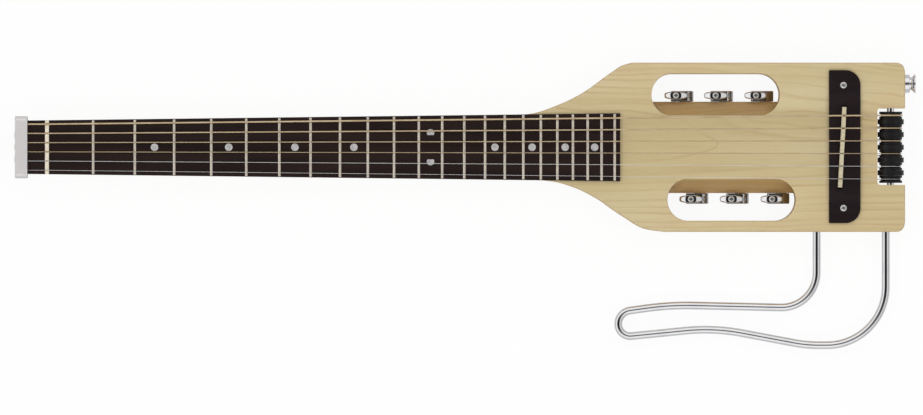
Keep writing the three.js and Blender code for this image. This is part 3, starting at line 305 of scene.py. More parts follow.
SCREW_HEAD = 2.8
SCREW_HEAD_HEIGHT = 1.5
SCREW_HEAD_RIM = 0.35
SCREW_STOPPED_AT = 0.35
SCREW_SHANK = 1.5
SCREW_LENGTH = 14
LEAD_RADIUS = 1.6
LEAD_FROM_SADDLE_END = 1.6

# Output socket
SOCKET_Y = BODY_HALF_WIDTH - 16.7
SOCKET_Z = MIDDLE_Z
SOCKET_LENGTH = 44
SOCKET_RADIUS = 5.6
SOCKET_BORE = 3.4
SOCKET_NUT = 7.3
SOCKET_NUT_LENGTH = 4.4
SOCKET_NUT_FOOT_EDGE = 0.3
SOCKET_NUT_EDGE = 0.8
SOCKET_NUT_EDGE_MIDDLE = 0.25
FLANGE_WAIST = 5.2
FLANGE_WAIST_LENGTH = 2.6
FLANGE_RADIUS = 7.5
FLANGE_THICKNESS = 1.7
FLANGE_FLARE_INSIDE_RIM = 0.3
FLANGE_FLARE_END = 0.5
FLANGE_RIM_START = 0.75
FLANGE_EDGE = 0.4
FLANGE_EDGE_MIDDLE = 0.12
FLANGE_MOUTH = 0.5

# Lap rest
ROD_RADIUS = 3.175
ROD_INSERTION = 28
FRONT_LEG_X = SCALE_LENGTH - 14.35
REAR_LEG_X = FRONT_LEG_X + 55.4
REST_LENGTH = 158.9
REST_DROP = 90.8
REST_SHARES = ((0, 0.674), (0.738, 0.645), (1, 0.708), (1, 0.931), (0.518, 0.847), (0.052, 1))
REST_BENDS = (28, 240, 10.8, 9.6, 160, 110)
REAR_BEND = 47


# Nodes: one builder for the trees of finishes and of forms

def both_ways(operation):
    """An operator that adds a Math node, and the same with its two sides turned round."""
    return (lambda value, other: value.maths(operation, other),
            lambda value, other: value.tree.maths(operation, other, value))


class Value:
    """What one socket of a node tree gives. Plain operators on it add the tree's own Math nodes."""

    __add__, __radd__ = both_ways("ADD")
    __sub__, __rsub__ = both_ways("SUBTRACT")
    __mul__, __rmul__ = both_ways("MULTIPLY")
    __truediv__, __rtruediv__ = both_ways("DIVIDE")
    __pow__, __rpow__ = both_ways("POWER")

    def __init__(self, tree, socket):
        self.tree = tree
        self.socket = socket

    def also(self, name):
        """Another output of the same node."""
        return Value(self.tree, self.socket.node.outputs[name])

    def maths(self, operation, *others):
        """One Math node that starts from this value."""
        return self.tree.maths(operation, self, *others)


class Nodes:
    """A node tree that is built node by node."""

    def __init__(self, tree):
        self.tree = tree

    def feed(self, socket, value):
        """Links a node's value to a socket, or sets a plain value on it."""
        if isinstance(value, Value):
            self.tree.links.new(value.socket, socket)
        else:
            socket.default_value = value

    def node(self, kind, settings=None, inputs=None, output=0):
        """Adds a node: its settings first, then what its sockets take. Gives one of its outputs."""
        made = self.tree.nodes.new(kind)
        for name, setting in (settings or {}).items():
            setattr(made, name, setting)
        for key, value in (inputs or {}).items():
            self.feed(made.inputs[key], value)
        return Value(self, made.outputs[output]) if made.outputs else None

    def shape(self, kind, settings=None, output=0, **inputs):
        """One Geometry node, its inputs by name, with _ for a name's space."""
        named = {name.replace("_", " "): value for name, value in inputs.items()}
        return self.node("GeometryNode" + kind, settings, named, output)

    def maths(self, operation, *values):
        """One Math node on plain numbers and sockets."""
        return self.node("ShaderNodeMath", {"operation": operation}, dict(enumerate(values)))

    def vector(self, x=0.0, y=0.0, z=0.0):
        """A vector from three numbers."""
        return self.node("ShaderNodeCombineXYZ", inputs={"X": x, "Y": y, "Z": z})

    def parts(self, vector):
        """The three numbers of a vector."""
        x = self.node("ShaderNodeSeparateXYZ", inputs={0: vector})
        return x, x.also("Y"), x.also("Z")

    def vector_maths(self, operation, first, second, output=0):
        """One Vector Math node."""
        pair = {0: first, 1: second}
        return self.node("ShaderNodeVectorMath", {"operation": operation}, pair, output)

    def stretched(self, place, factors):
        """A place with each of its directions multiplied."""
        return self.vector_maths("MULTIPLY", place, factors)

    def moved(self, place, offset):
        """A place moved by an offset."""
        return self.vector_maths("ADD", place, offset)

    def dotted(self, first, second):
        """Dot product of two vectors."""
        return self.vector_maths("DOT_PRODUCT", first, second, "Value")

    def noise(self, place, scale=1.0, detail=2.0, distortion=0.0):
        """Smooth noise from 0 to 1 in space."""
        return self.node("ShaderNodeTexNoise", inputs={
            "Vector": place, "Scale": scale, "Detail": detail, "Distortion": distortion,
        })

    def grain(self, place, factors, detail=2.0):
        """Noise with its place stretched by a factor in each direction."""
        return self.noise(self.stretched(place, factors), detail=detail)

    def mixed(self, share, first, second):
        """Colour between two colours."""
        colours = {0: share, 6: first, 7: second}
        return self.node("ShaderNodeMix", {"data_type": "RGBA"}, colours, output=2)

    def eased(self, value, low, high, to_low=0.0, to_high=1.0):
        """Smooth step of a value from low to high."""
        return self.node("ShaderNodeMapRange", {"interpolation_type": "SMOOTHSTEP"}, {
            "Value": value, "From Min": low, "From Max": high, "To Min": to_low, "To Max": to_high,
        })


def tint(red, green, blue):
    """Colour from the numbers that a picture gives, 0 to 255."""
    def linear(value):
        share = value / 255
        return share / 12.92 if share <= 0.04045 else ((share + 0.055) / 1.055) ** 2.4
    return (linear(red), linear(green), linear(blue), 1)


class Finish(Nodes):
    """A material's tree, with its surface shader."""

    def __init__(self, name, **constants):
        self.material = bpy.data.materials.new(name)
        self.material.use_nodes = True
        super().__init__(self.material.node_tree)
        self.surface = self.tree.nodes["Principled BSDF"]
        self.place = self.node("ShaderNodeTexCoord", output="Object")
        self.wear(**constants)

    def wear(self, **sockets):
        """Sets or links the surface's sockets, a name's _ for its space, and gives the material."""
        for name, value in sockets.items():
            self.feed(self.surface.inputs[name.replace("_", " ")], value)
        return self.material

    def relief(self, height, depth):
        """Bump of a height from 0 to 1 that is depth metres deep."""
        return self.node("ShaderNodeBump", inputs={"Height": height, "Distance": depth})


# Finishes

def maple_finish():
    """Pale maple: rings round a core below the back draw lines on the face and arcs on the tail; faces
    that turn sideways get a painted shade.
    """
    finish = Finish("natural_maple", Coat_Weight=0.1, Coat_Roughness=0.35)
    rings_per_metre = 245
    step = 0.001
    late_width, early_width = 0.0028, 0.0007

    def from_core(place):
        """Distance from the wandering core of the tree."""
        x, y, z = finish.parts(place)
        sway = finish.grain(finish.moved(place, (0.2, 0, 0)), (6, 15, 15)) - 0.5
        ripple = finish.grain(place, (30, 90, 90)) - 0.5
        side = y - 0.005 + x * 0.02 + sway * 0.02 + ripple * 0.002
        depth = z + 0.002 + x * 0.035 + sway * 0.013
        return (side * side + depth * depth) ** 0.5

    radius = from_core(finish.place)
    slopes = [(from_core(finish.moved(finish.place, way)) - radius) / step
              for way in ((step, 0, 0), (0, step, 0), (0, 0, step))]
    climb = finish.vector(*slopes)
    skin_normal = finish.node("ShaderNodeTexCoord", output="Normal")
    outward = finish.dotted(climb, skin_normal)
    along_skin = (finish.dotted(climb, climb) - outward * outward).maths("MAXIMUM", 0.003) ** 0.5
    uneven = finish.noise(finish.vector(z=radius), scale=95, detail=1) - 0.5
    ring = (radius * rings_per_metre + uneven * 4).maths("FRACT")
    late_side = (1 - ring) / rings_per_metre / along_skin
    early_side = ring / rings_per_metre / along_skin
    line = (finish.eased(late_side, late_width, 0.0) + finish.eased(early_side, early_width, 0.0)) * 0.6
    fading = finish.grain(finish.place, (11, 60, 60), 1)
    season = finish.noise(finish.vector(z=radius), scale=520, detail=1)
    strength = finish.eased(fading, 0.3, 0.7, 0.35, 1) * finish.eased(season, 0.36, 0.62, 0.3, 1)
    band = finish.grain(finish.place, (4, 30, 30), 3)
    glow = finish.grain(finish.place, (9, 12, 12))
    streak = finish.grain(finish.moved(finish.place, (0.3, 0, 0)), (13, 110, 110), 3)
    fleck = finish.grain(finish.place, (160, 900, 900))
    fibre = finish.grain(finish.place, (60, 2600, 2600))
    pale = finish.mixed(finish.eased(band, 0.32, 0.7), tint(200, 182, 138), tint(210, 194, 154))
    warm = finish.mixed(finish.eased(glow, 0.45, 0.75) * 0.5, pale, tint(204, 178, 132))
    level = finish.parts(skin_normal)[2]
    # Painted shade: side faces and slot slopes, which turn away from straight up, take a warmer, darker
    # tone.
    side_shade = finish.eased(level * level, 0.55, 0.12) * finish.eased(streak, 0.3, 0.7, 0.6, 1)
    side_shaded = finish.mixed(side_shade, warm, tint(212, 174, 114))
    flecked = finish.mixed(finish.eased(fleck, 0.6, 0.8) * 0.25, side_shaded, tint(190, 165, 120))
    lined = finish.mixed(line * strength * 0.62, flecked, tint(160, 120, 72))
    fine = finish.mixed(finish.eased(fibre, 0.45, 0.8) * 0.16, lined, tint(150, 116, 72))
    return finish.wear(
        Base_Color=fine,
        Roughness=0.5 + (fibre - 0.5) * 0.12 + line * 0.06,
        Normal=finish.relief(fibre * 0.5 + line * -0.3 + 0.3, 0.00006),
    )


def dark_wood_finish(name, dark, warm, grain):
    """Dark, close wood with fine open pores along its length."""
    finish = Finish(name, Specular_IOR_Level=0.15)
    band = finish.grain(finish.place, (7, 120, 120), 3)
    pore = finish.grain(finish.place, (140, 2600, 2600))
    open_pore = finish.eased(pore, 0.6, 0.75)
    tone = finish.mixed(finish.eased(band, 0.3, 0.7), dark, warm)
    return finish.wear(
        Base_Color=finish.mixed(open_pore * 0.5, tone, grain),
        Roughness=0.42 + band * 0.12 + open_pore * 0.1,
        Normal=finish.relief(1 - open_pore, 0.00005),
    )


def bone_finish(name, light, dull, string_shadow_and_wear=False):
    """Cream bone with faint mottling and fine tubules; on the saddle, a painted shadow of each string,
    which also stands for wear, darkens it where the strings lie on it.
    """
    finish = Finish(name)
    cloud = finish.noise(finish.place, scale=320, detail=3)
    tubule = finish.grain(finish.place, (2200, 500, 2200))
    tone = finish.mixed(finish.eased(cloud, 0.3, 0.7), dull, light)
    tone = finish.mixed(finish.eased(tubule, 0.6, 0.8) * 0.25, tone, tint(178, 163, 132))
    if string_shadow_and_wear:
        # Painted shadow of each string, also standing for wear: a dark stripe under every string on the
        # saddle's crown.
        pitches = finish.parts(finish.place)[1] / (SADDLE_PITCH / METRE)
        from_string = (pitches.maths("FRACT") - 0.5).maths("ABSOLUTE") * SADDLE_PITCH
        unshaded_from, dark_to = 0.75, 0.35
        dark = finish.eased(from_string, unshaded_from, dark_to) * 0.75
        tone = finish.mixed(dark, tone, tint(70, 58, 44))
    return finish.wear(
        Base_Color=tone,
        Roughness=0.38 + cloud * 0.12,
        Normal=finish.relief(tubule, 0.00002),
    )


def over_saddle(finish):
    """1 where a string bends over the saddle's crown: the mask of the painted shade there."""
    x, y, _ = finish.parts(finish.place)
    crown = TO_FRAME.translation.x + SADDLE_X / METRE + y * math.tan(SADDLE_SLANT)
    unshaded_from, shaded_to = 0.0016, 0.0008
    return finish.eased((x - crown).maths("ABSOLUTE"), unshaded_from, shaded_to)


def metal_finish(name, light, dull, roughness, brushed=(300, 300, 300),
                 depth=0.000004, spread=0.1, sheen=1.0):
    """Metal with fine marks of its making and a slightly uneven polish."""
    finish = Finish(name, Metallic=sheen)
    mark = finish.grain(finish.place, brushed, 3)
    wear = finish.noise(finish.place, scale=90, detail=3)
    return finish.wear(
        Base_Color=finish.mixed(finish.eased(wear, 0.35, 0.75), light, dull),
        Roughness=roughness + (wear - 0.5) * spread + (mark - 0.5) * spread,
        Normal=finish.relief(mark, depth),
    )


def sprayed_metal_finish():
    """Pale grey satin coat on cast metal."""
    finish = Finish("grey_satin_metal", Metallic=0.35)
    speck = finish.noise(finish.place, scale=2600)
    cloud = finish.noise(finish.place, scale=60)
    return finish.wear(
        Base_Color=finish.mixed(cloud, tint(214, 210, 210), tint(223, 219, 219)),
        Roughness=0.42 + (speck - 0.5) * 0.1,
        Normal=finish.relief(speck, 0.000002),
    )


def black_finish():
    """Black moulded plastic with a soft sheen."""
    finish = Finish("black_moulded", Specular_IOR_Level=0.3)
    speck = finish.noise(finish.place, scale=1500, detail=3)
    return finish.wear(
        Base_Color=finish.mixed(speck, tint(11, 9, 10), tint(21, 18, 19)),
        Roughness=0.4 + (speck - 0.5) * 0.14,
        Normal=finish.relief(speck, 0.00001),
    )


def pearl_finish():
    """Grey pearl of the position dots, with soft clouds."""
    finish = Finish("grey_pearl", Coat_Weight=0.4, Coat_Roughness=0.1)
    cloud = finish.noise(finish.place, scale=420, distortion=1.5)
    share = finish.eased(cloud, 0.3, 0.7)
    return finish.wear(
        Base_Color=finish.mixed(share, tint(164, 161, 162), tint(197, 194, 195)),
        Roughness=0.25 + cloud * 0.1,
    )


def plain_string_finish():
    """Drawn steel, with painted shade where it bends over the saddle."""
    finish = Finish("plain_string_steel", Metallic=0.6)
    wear = finish.noise(finish.place, scale=90, detail=3)
    tone = finish.mixed(finish.eased(wear, 0.35, 0.75), tint(226, 226, 226), tint(205, 205, 205))
    return finish.wear(
        # Painted shade on the string where it bends over the saddle.
        Base_Color=finish.mixed(over_saddle(finish) * 0.85, tone, tint(84, 76, 60)),
        Roughness=0.3 + (wear - 0.5) * 0.1,
    )


def wound_finish(name, light, dark, wire):
    """Wire wound round a core: ridges a wire apart, counted along the string's own length."""
    finish = Finish(name, Metallic=0.7)
    along = finish.node("ShaderNodeAttribute", {"attribute_name": "run"}, output="Fac")
    ridge = (along * (2 * math.pi / wire)).maths("SINE") * 0.5 + 0.5
    tarnish = finish.noise(finish.place, scale=70)
    tone = finish.mixed(finish.eased(tarnish, 0.3, 0.7), light, dark)
    bronze_from, yellow_to = 0.0168, 0.0155
    tone = finish.mixed(finish.eased(along, bronze_from, yellow_to), tone, tint(236, 204, 104))
    # Painted shade on the wound string where it bends over the saddle.
    tone = finish.mixed(over_saddle(finish) * 0.8, tone, tint(104, 92, 58))
    return finish.wear(
        # Painted shade: the colour darkens in the grooves between the wraps.
        Base_Color=finish.mixed((1 - ridge) ** 3 * 0.45, tone, tint(92, 74, 52)),
        Roughness=0.34 + (1 - ridge) * 0.2,
        Normal=finish.relief(ridge, 0.00006),
    )


MAPLE = maple_finish()
ROSEWOOD = dark_wood_finish("dark_board_wood", tint(23, 14, 12), tint(35, 23, 20), tint(14, 8, 7))
EBONY = dark_wood_finish("dark_bridge_wood", tint(22, 15, 17), tint(31, 22, 23), tint(14, 9, 10))
BONE = bone_finish("cream_bone", tint(233, 221, 204), tint(220, 207, 186))
SADDLE_BONE = bone_finish("worn_saddle_bone", tint(206, 196, 166), tint(192, 181, 150), string_shadow_and_wear=True)
CHROME = metal_finish(
    "polished_chrome", tint(236, 236, 238), tint(228, 228, 231), 0.07, depth=0.000001, spread=0.03)
NICKEL = metal_finish("satin_nickel", tint(205, 204, 203), tint(182, 181, 180), 0.11)
STRING_STEEL = plain_string_finish()
STEEL = metal_finish(
    "bright_steel", tint(214, 213, 210), tint(196, 195, 193), 0.26, brushed=(90, 2400, 2400))
FRET_METAL = metal_finish(
    "fret_metal", tint(238, 226, 210), tint(220, 209, 196), 0.24, brushed=(2400, 120, 2400), sheen=0.65)
BRONZE = metal_finish("worm_wheel_bronze", tint(196, 158, 96), tint(168, 130, 74), 0.34)
GREY_METAL = sprayed_metal_finish()
BLACK = black_finish()
PEARL = pearl_finish()
BRASS = metal_finish("ball_end_brass", tint(206, 174, 108), tint(180, 146, 84), 0.3)


# Curves and outlines

def lerp(low, high, share):
    return low + (high - low) * share


def evenly(start, end, steps):
    """Evenly spaced values from start to end."""
    return [lerp(start, end, k / steps) for k in range(steps + 1)]


def turn(segments):
    """Cosine and sine of evenly spaced angles round one turn."""
    angles = [2 * math.pi * k / segments for k in range(segments)]
    return [(math.cos(angle), math.sin(angle)) for angle in angles]


def clamp(value, low, high):
    return min(max(value, low), high)


def smooth_step(value, low, high):
    share = clamp((value - low) / (high - low), 0, 1)
    return share * share * (3 - 2 * share)


def through_shares(shares, at):
    """Value of a smooth curve through share pairs."""
    at = clamp(at, 0, 1)
    index = next((i for i, (place, _) in enumerate(shares) if place >= at), len(shares) - 1)
    if index == 0:
        return shares[0][1]

    def slope(k):
        low = shares[max(k - 1, 0)]
        high = shares[min(k + 1, len(shares) - 1)]
        return (high[1] - low[1]) / (high[0] - low[0])

    (start, start_value), (end, end_value) = shares[index - 1], shares[index]
    span = end - start
    t = (at - start) / span
    rise = start_value * (2 * t ** 3 - 3 * t ** 2 + 1) + end_value * (3 * t ** 2 - 2 * t ** 3)
    bend = slope(index - 1) * (t ** 3 - 2 * t ** 2 + t) + slope(index) * (t ** 3 - t ** 2)
    return rise + span * bend


def fret_x(number):
    return SCALE_LENGTH * (1 - 2 ** (-number / FRETS_PER_OCTAVE))


BOARD_END_X = fret_x(FRET_COUNT) + BOARD_PAST_LAST_FRET


def board_half(x):
    return lerp(NUT_WIDTH, BOARD_END_WIDTH, x / BOARD_END_X) / 2


def arc_drop(y):
    """How far the fingerboard's round top has fallen at a distance from its middle."""
    return BOARD_RADIUS - math.sqrt(BOARD_RADIUS ** 2 - y * y)


def round_in(distance, radius):
    """How far a round edge draws in at a distance from the end that it rounds."""
    left = clamp(radius - distance, 0, radius)
    return radius - math.sqrt(radius * radius - left * left)


def side_line(x, flare):
    """Half width of the wood on one side."""
    if x < flare["start"]:
        return board_half(x)
    rise = through_shares(flare["shares"], (x - flare["start"]) / flare["length"])
    side = lerp(board_half(flare["start"]), BODY_HALF_WIDTH, rise)
    return side - round_in(TAIL_X - x, TAIL_CORNER)


def arc(x, y, radius, start, end, steps):
    """Points along an arc, its angles in quarter turns."""
    angles = [quarters * math.pi / 2 for quarters in evenly(start, end, steps)]
    return [(x + radius * math.cos(angle), y + radius * math.sin(angle)) for angle in angles]


def rounded_rectangle(low_x, high_x, low_y, high_y, corner, steps):
    return [
        *arc(high_x - corner, high_y - corner, corner, 0, 1, steps),
        *arc(low_x + corner, high_y - corner, corner, 1, 2, steps),
        *arc(low_x + corner, low_y + corner, corner, 2, 3, steps),
        *arc(high_x - corner, low_y + corner, corner, 3, 4, steps),
    ]


# Ways to make a form. A form is a Blender object in millimetres until it is finished.

def added(name, data):
    """A new object in the scene."""
    made = bpy.data.objects.new(name, data)
    bpy.context.scene.collection.objects.link(made)
    return made


def form_of(bm):
    """An object from the mesh that is being built."""
    mesh = bpy.data.meshes.new("form")
    bm.to_mesh(mesh)
    bm.free()
    return added("form", mesh)


def skin(rings, closed=False):
    """A solid through rings of points, with flat ends unless the rings close on themselves."""
    bm = bmesh.new()
    rows = [[bm.verts.new(point) for point in ring] for ring in rings]
    pairs = list(zip(rows, rows[1:]))
    if closed:
        pairs.append((rows[-1], rows[0]))
    for here, there in pairs:
        for i in range(len(here)):
            j = (i + 1) % len(here)
            bm.faces.new((here[i], here[j], there[j], there[i]))
    if not closed:
        bm.faces.new(reversed(rows[0]))
        bm.faces.new(rows[-1])
    bmesh.ops.remove_doubles(bm, verts=bm.verts, dist=SAME_POINT)
    bmesh.ops.dissolve_degenerate(bm, edges=bm.edges, dist=SAME_POINT)
    bmesh.ops.recalc_face_normals(bm, faces=bm.faces)
    return form_of(bm)


def placed(u, v, along, axis):
    """A point from its place on a profile's sheet and its station on the sheet's axis."""
    return {"x": (along, u, v), "y": (u, along, v), "z": (u, v, along)}[axis]


def prism(outline, axis, low, high):
    return skin([[placed(u, v, station, axis) for u, v in outline] for station in (low, high)])


def turned(profile, axis, centre=(0, 0, 0), segments=64):
    """A closed profile of radius and station pairs turned round an axis."""
    centre = Vector(centre)
    return skin([
        [Vector(placed(radius * u, radius * v, station, axis)) + centre for radius, station in profile]
        for u, v in turn(segments)
    ], closed=True)


def rod(radius, axis, low, high, centre=(0, 0, 0), segments=48):
    made = prism([(radius * u, radius * v) for u, v in turn(segments)], axis, low, high)
    made.data.transform(Matrix.Translation(centre))
    return made


def block(low, high):
    low_x, low_y, low_z = low
    high_x, high_y, high_z = high
    outline = [(low_x, low_y), (high_x, low_y), (high_x, high_y), (low_x, high_y)]
    return prism(outline, "z", low_z, high_z)


def settle(made):
    """Puts what an object's modifiers give into its mesh."""
    mesh = bpy.data.meshes.new_from_object(made.evaluated_get(bpy.context.evaluated_depsgraph_get()))
    made.modifiers.clear()
    made.data = mesh
    return made


def discard(*forms):
    for form in forms:
        bpy.data.objects.remove(form)


def gathered(forms):
    """Several forms in one object."""
    bm = bmesh.new()
    for form in forms:
        bm.from_mesh(form.data)
    discard(*forms)
    return form_of(bm)


def shaped(base, tool, operation="DIFFERENCE"):
    """A form after one cut, join or overlap with another."""
    modifier = base.modifiers.new("shape", "BOOLEAN")
    modifier.object = tool
    modifier.operation = operation
    modifier.solver = "MANIFOLD"
    settle(base)
    discard(tool)
    return base


def cut(base, *tools):
    for tool in tools:
        shaped(base, tool)
    return base


def joined(base, *tools):
    for tool in tools:
        shaped(base, tool, "UNION")
    return base


def softened(form, width, segments=3, angle=32):
    """A form with its sharp edges rounded."""
    bevel = form.modifiers.new("edge", "BEVEL")
    bevel.width = width
    bevel.segments = segments
    bevel.limit_method = "ANGLE"
    bevel.angle_limit = math.radians(angle)
    bevel.use_clamp_overlap = True
    bevel.harden_normals = False
    return settle(form)


def transformed(form, matrix):
    form.data.transform(matrix)
    if matrix.determinant() < 0:
        form.data.flip_normals()
    return form


def finished(form, name, finish, nodes=(), body="guitar", crease=34):
    """The last step of every piece: smooth faces, finish, place in the frame and on its body."""
    mesh = form.data
    mesh.transform(TO_FRAME)
    for polygon in mesh.polygons:
        polygon.use_smooth = True
    mesh.set_sharp_from_angle(angle=math.radians(crease))
    if finish is not None:
        mesh.materials.clear()
        mesh.materials.append(finish)
    weighted = form.modifiers.new("weighted", "WEIGHTED_NORMAL")
    weighted.keep_sharp = True
    settle(form)
    form.name = name
    form.data.name = name
    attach(form, body)
    if nodes:
        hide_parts(*nodes)
    return form


def grown(name, base, sizes, plan, finish):
    """A plain mesh made from a base by a tree of Geometry Nodes, whose inputs are the sizes."""
    tree = bpy.data.node_groups.new(name, "GeometryNodeTree")
    tree.interface.new_socket(name="Base", in_out="INPUT", socket_type="NodeSocketGeometry")
    for label, size in sizes.items():
        kind = "NodeSocketInt" if isinstance(size, int) else "NodeSocketFloat"
        tree.interface.new_socket(name=label, in_out="INPUT", socket_type=kind)
    tree.interface.new_socket(name="Form", in_out="OUTPUT", socket_type="NodeSocketGeometry")
    nodes = Nodes(tree)
    given = tree.nodes.new("NodeGroupInput")
    inputs = {socket.name: Value(nodes, socket) for socket in given.outputs if socket.name}
    form = plan(nodes, inputs)
    real = nodes.shape("RealizeInstances", Geometry=form)
    dressed = nodes.shape("SetMaterial", Geometry=real, Material=finish)
    nodes.node("NodeGroupOutput", inputs={"Form": dressed})
    modifier = base.modifiers.new(name, "NODES")
    modifier.node_group = tree
    for item in tree.interface.items_tree:
        if item.in_out == "INPUT" and item.name in sizes:
            modifier[item.identifier] = sizes[item.name]
    return settle(base)


def points_form(points, edges=(), **marks):
    """Loose points or a line for a tree to work on, with a number for each point in each mark."""
    mesh = bpy.data.meshes.new("points")
    mesh.from_pydata([tuple(point) for point in points], edges, [])
    for name, values in marks.items():
        mesh.attributes.new(name, "FLOAT", "POINT").data.foreach_set("value", values)
    return added("points", mesh)


def line_form(points, **marks):
    return points_form(points, [(i, i + 1) for i in range(len(points) - 1)], **marks)


# Body and neck

def wood_section(x):
    """Cross section of the wood: a C under the fingerboard, a rounded oblong in the body."""
    heel = smooth_step(x, HEEL_START_X, HEEL_END_X)
    neck_wood = lerp(NECK_WOOD_AT_NUT, NECK_WOOD_AT_HEEL, x / HEEL_START_X)
    inset = round_in(TAIL_X - x, BODY_EDGE)
    bass = side_line(x, BASS_FLARE) - inset
    treble = side_line(x, TREBLE_FLARE) - inset
    low_z = lerp(FACE_Z - neck_wood, 0, heel) + inset
    top = lerp(NECK_EDGE, BODY_EDGE, heel)
    wide = lerp(min(bass, treble) * NECK_ROUND_SHARE, BODY_EDGE, heel)
    tall = lerp(neck_wood - NECK_SIDE_LAND, BODY_EDGE, heel)
    corners = [
        (bass - top, FACE_Z - inset - top, top, top, 4),
        (top - treble, FACE_Z - inset - top, top, top, 4),
        (wide - treble, low_z + tall, wide, tall, 14),
        (bass - wide, low_z + tall, wide, tall, 14),
    ]
    ring = []
    for quarter, (y, z, width, height, steps) in enumerate(corners):
        for k in range(steps + 1):
            angle = math.pi / 2 * (quarter + k / steps)
            ring.append((x, y + math.cos(angle) * width, z + math.sin(angle) * height))
    return ring


def wood_stations():
    """Places of the sections along the wood, close together where it turns."""
    flare_end = TREBLE_FLARE["start"] + TREBLE_FLARE["length"]
    neck = evenly(NECK_END_X, HEEL_START_X, 24)
    turning = evenly(HEEL_START_X, flare_end, 110)
    corner = [TAIL_X - TAIL_CORNER * (1 - math.sin(math.pi / 2 * k / 14)) for k in range(15)]
    edge = [TAIL_X - BODY_EDGE * (1 - math.sin(math.pi / 2 * k / 6)) for k in range(1, 6)]
    return sorted({round(x, 4) for x in [*neck, *turning, *corner, *edge]})


def tuner_slot(side, start_x):
    """Cutter of one tuner slot: round ends, a wall for the machines and a slope up to the face."""
    radius = (SLOT_OUTER_Y - SLOT_INNER_Y) / 2
    middle_y = (SLOT_OUTER_Y + SLOT_INNER_Y) / 2
    ends = [(start_x + SLOT_LENGTH - radius, x, y) for x, y in arc(0, 0, 1, -1, 1, 40)]
    ends += [(start_x + radius, x, y) for x, y in arc(0, 0, 1, 1, 3, 40)]
    levels = [-OVERRUN, 0]
    levels += [SLOT_EDGE * (1 - math.cos(math.pi / 2 * k / 5)) for k in range(1, 6)]
    levels += [WALL_TOP_Z + offset for offset in (-WALL_TOP_BLEND, 0, WALL_TOP_BLEND)]
    levels += [(WALL_TOP_Z + FACE_Z) / 2]
    levels += [FACE_Z - SLOT_EDGE * (1 - math.sin(math.pi / 2 * k / 5)) for k in range(6)]
    levels += [FACE_Z + OVERRUN]
    rings = []
    for z in levels:
        depth = min(abs(clamp(z, 0, FACE_Z)), FACE_Z - clamp(z, 0, FACE_Z))
        grow = round_in(depth, SLOT_EDGE)
        slope = clamp((z - WALL_TOP_Z) / (FACE_Z - WALL_TOP_Z), 0, 1)
        inner = lerp(WALL_Y, SLOT_INNER_Y, slope) - grow
        wide = radius + grow
        rings.append([(end + x * wide, side * max(middle_y + y * wide, inner), z)
                      for end, x, y in ends])
    return skin(rings)


def tuner_of(index):
    """Side and button place of the machine that takes a string."""
    half = STRING_COUNT // 2
    if index >= half:
        return 1, BASS_SLOT_X + SLOT_LENGTH * BASS_BUTTON_SHARES[STRING_COUNT - 1 - index]
    return -1, TREBLE_SLOT_X + SLOT_LENGTH * TREBLE_BUTTON_SHARES[index]


def saddle_x(y):
    return SADDLE_X + y * math.tan(SADDLE_SLANT)


def lead_channel():
    """Cutter for the pickup's lead, from under the saddle down and across to the socket."""
    y = SADDLE_LENGTH / 2 - LEAD_FROM_SADDLE_END
    x = saddle_x(y)
    down = rod(LEAD_RADIUS, "z", SOCKET_Z, BRIDGE_TOP_Z, (x, y, 0), 16)
    along = rod(LEAD_RADIUS, "y", y, SOCKET_Y, (x, 0, SOCKET_Z), 16)
    back = rod(LEAD_RADIUS, "x", x, TAIL_X - SOCKET_LENGTH + SEAM, (0, SOCKET_Y, SOCKET_Z), 16)
    return [down, along, back]


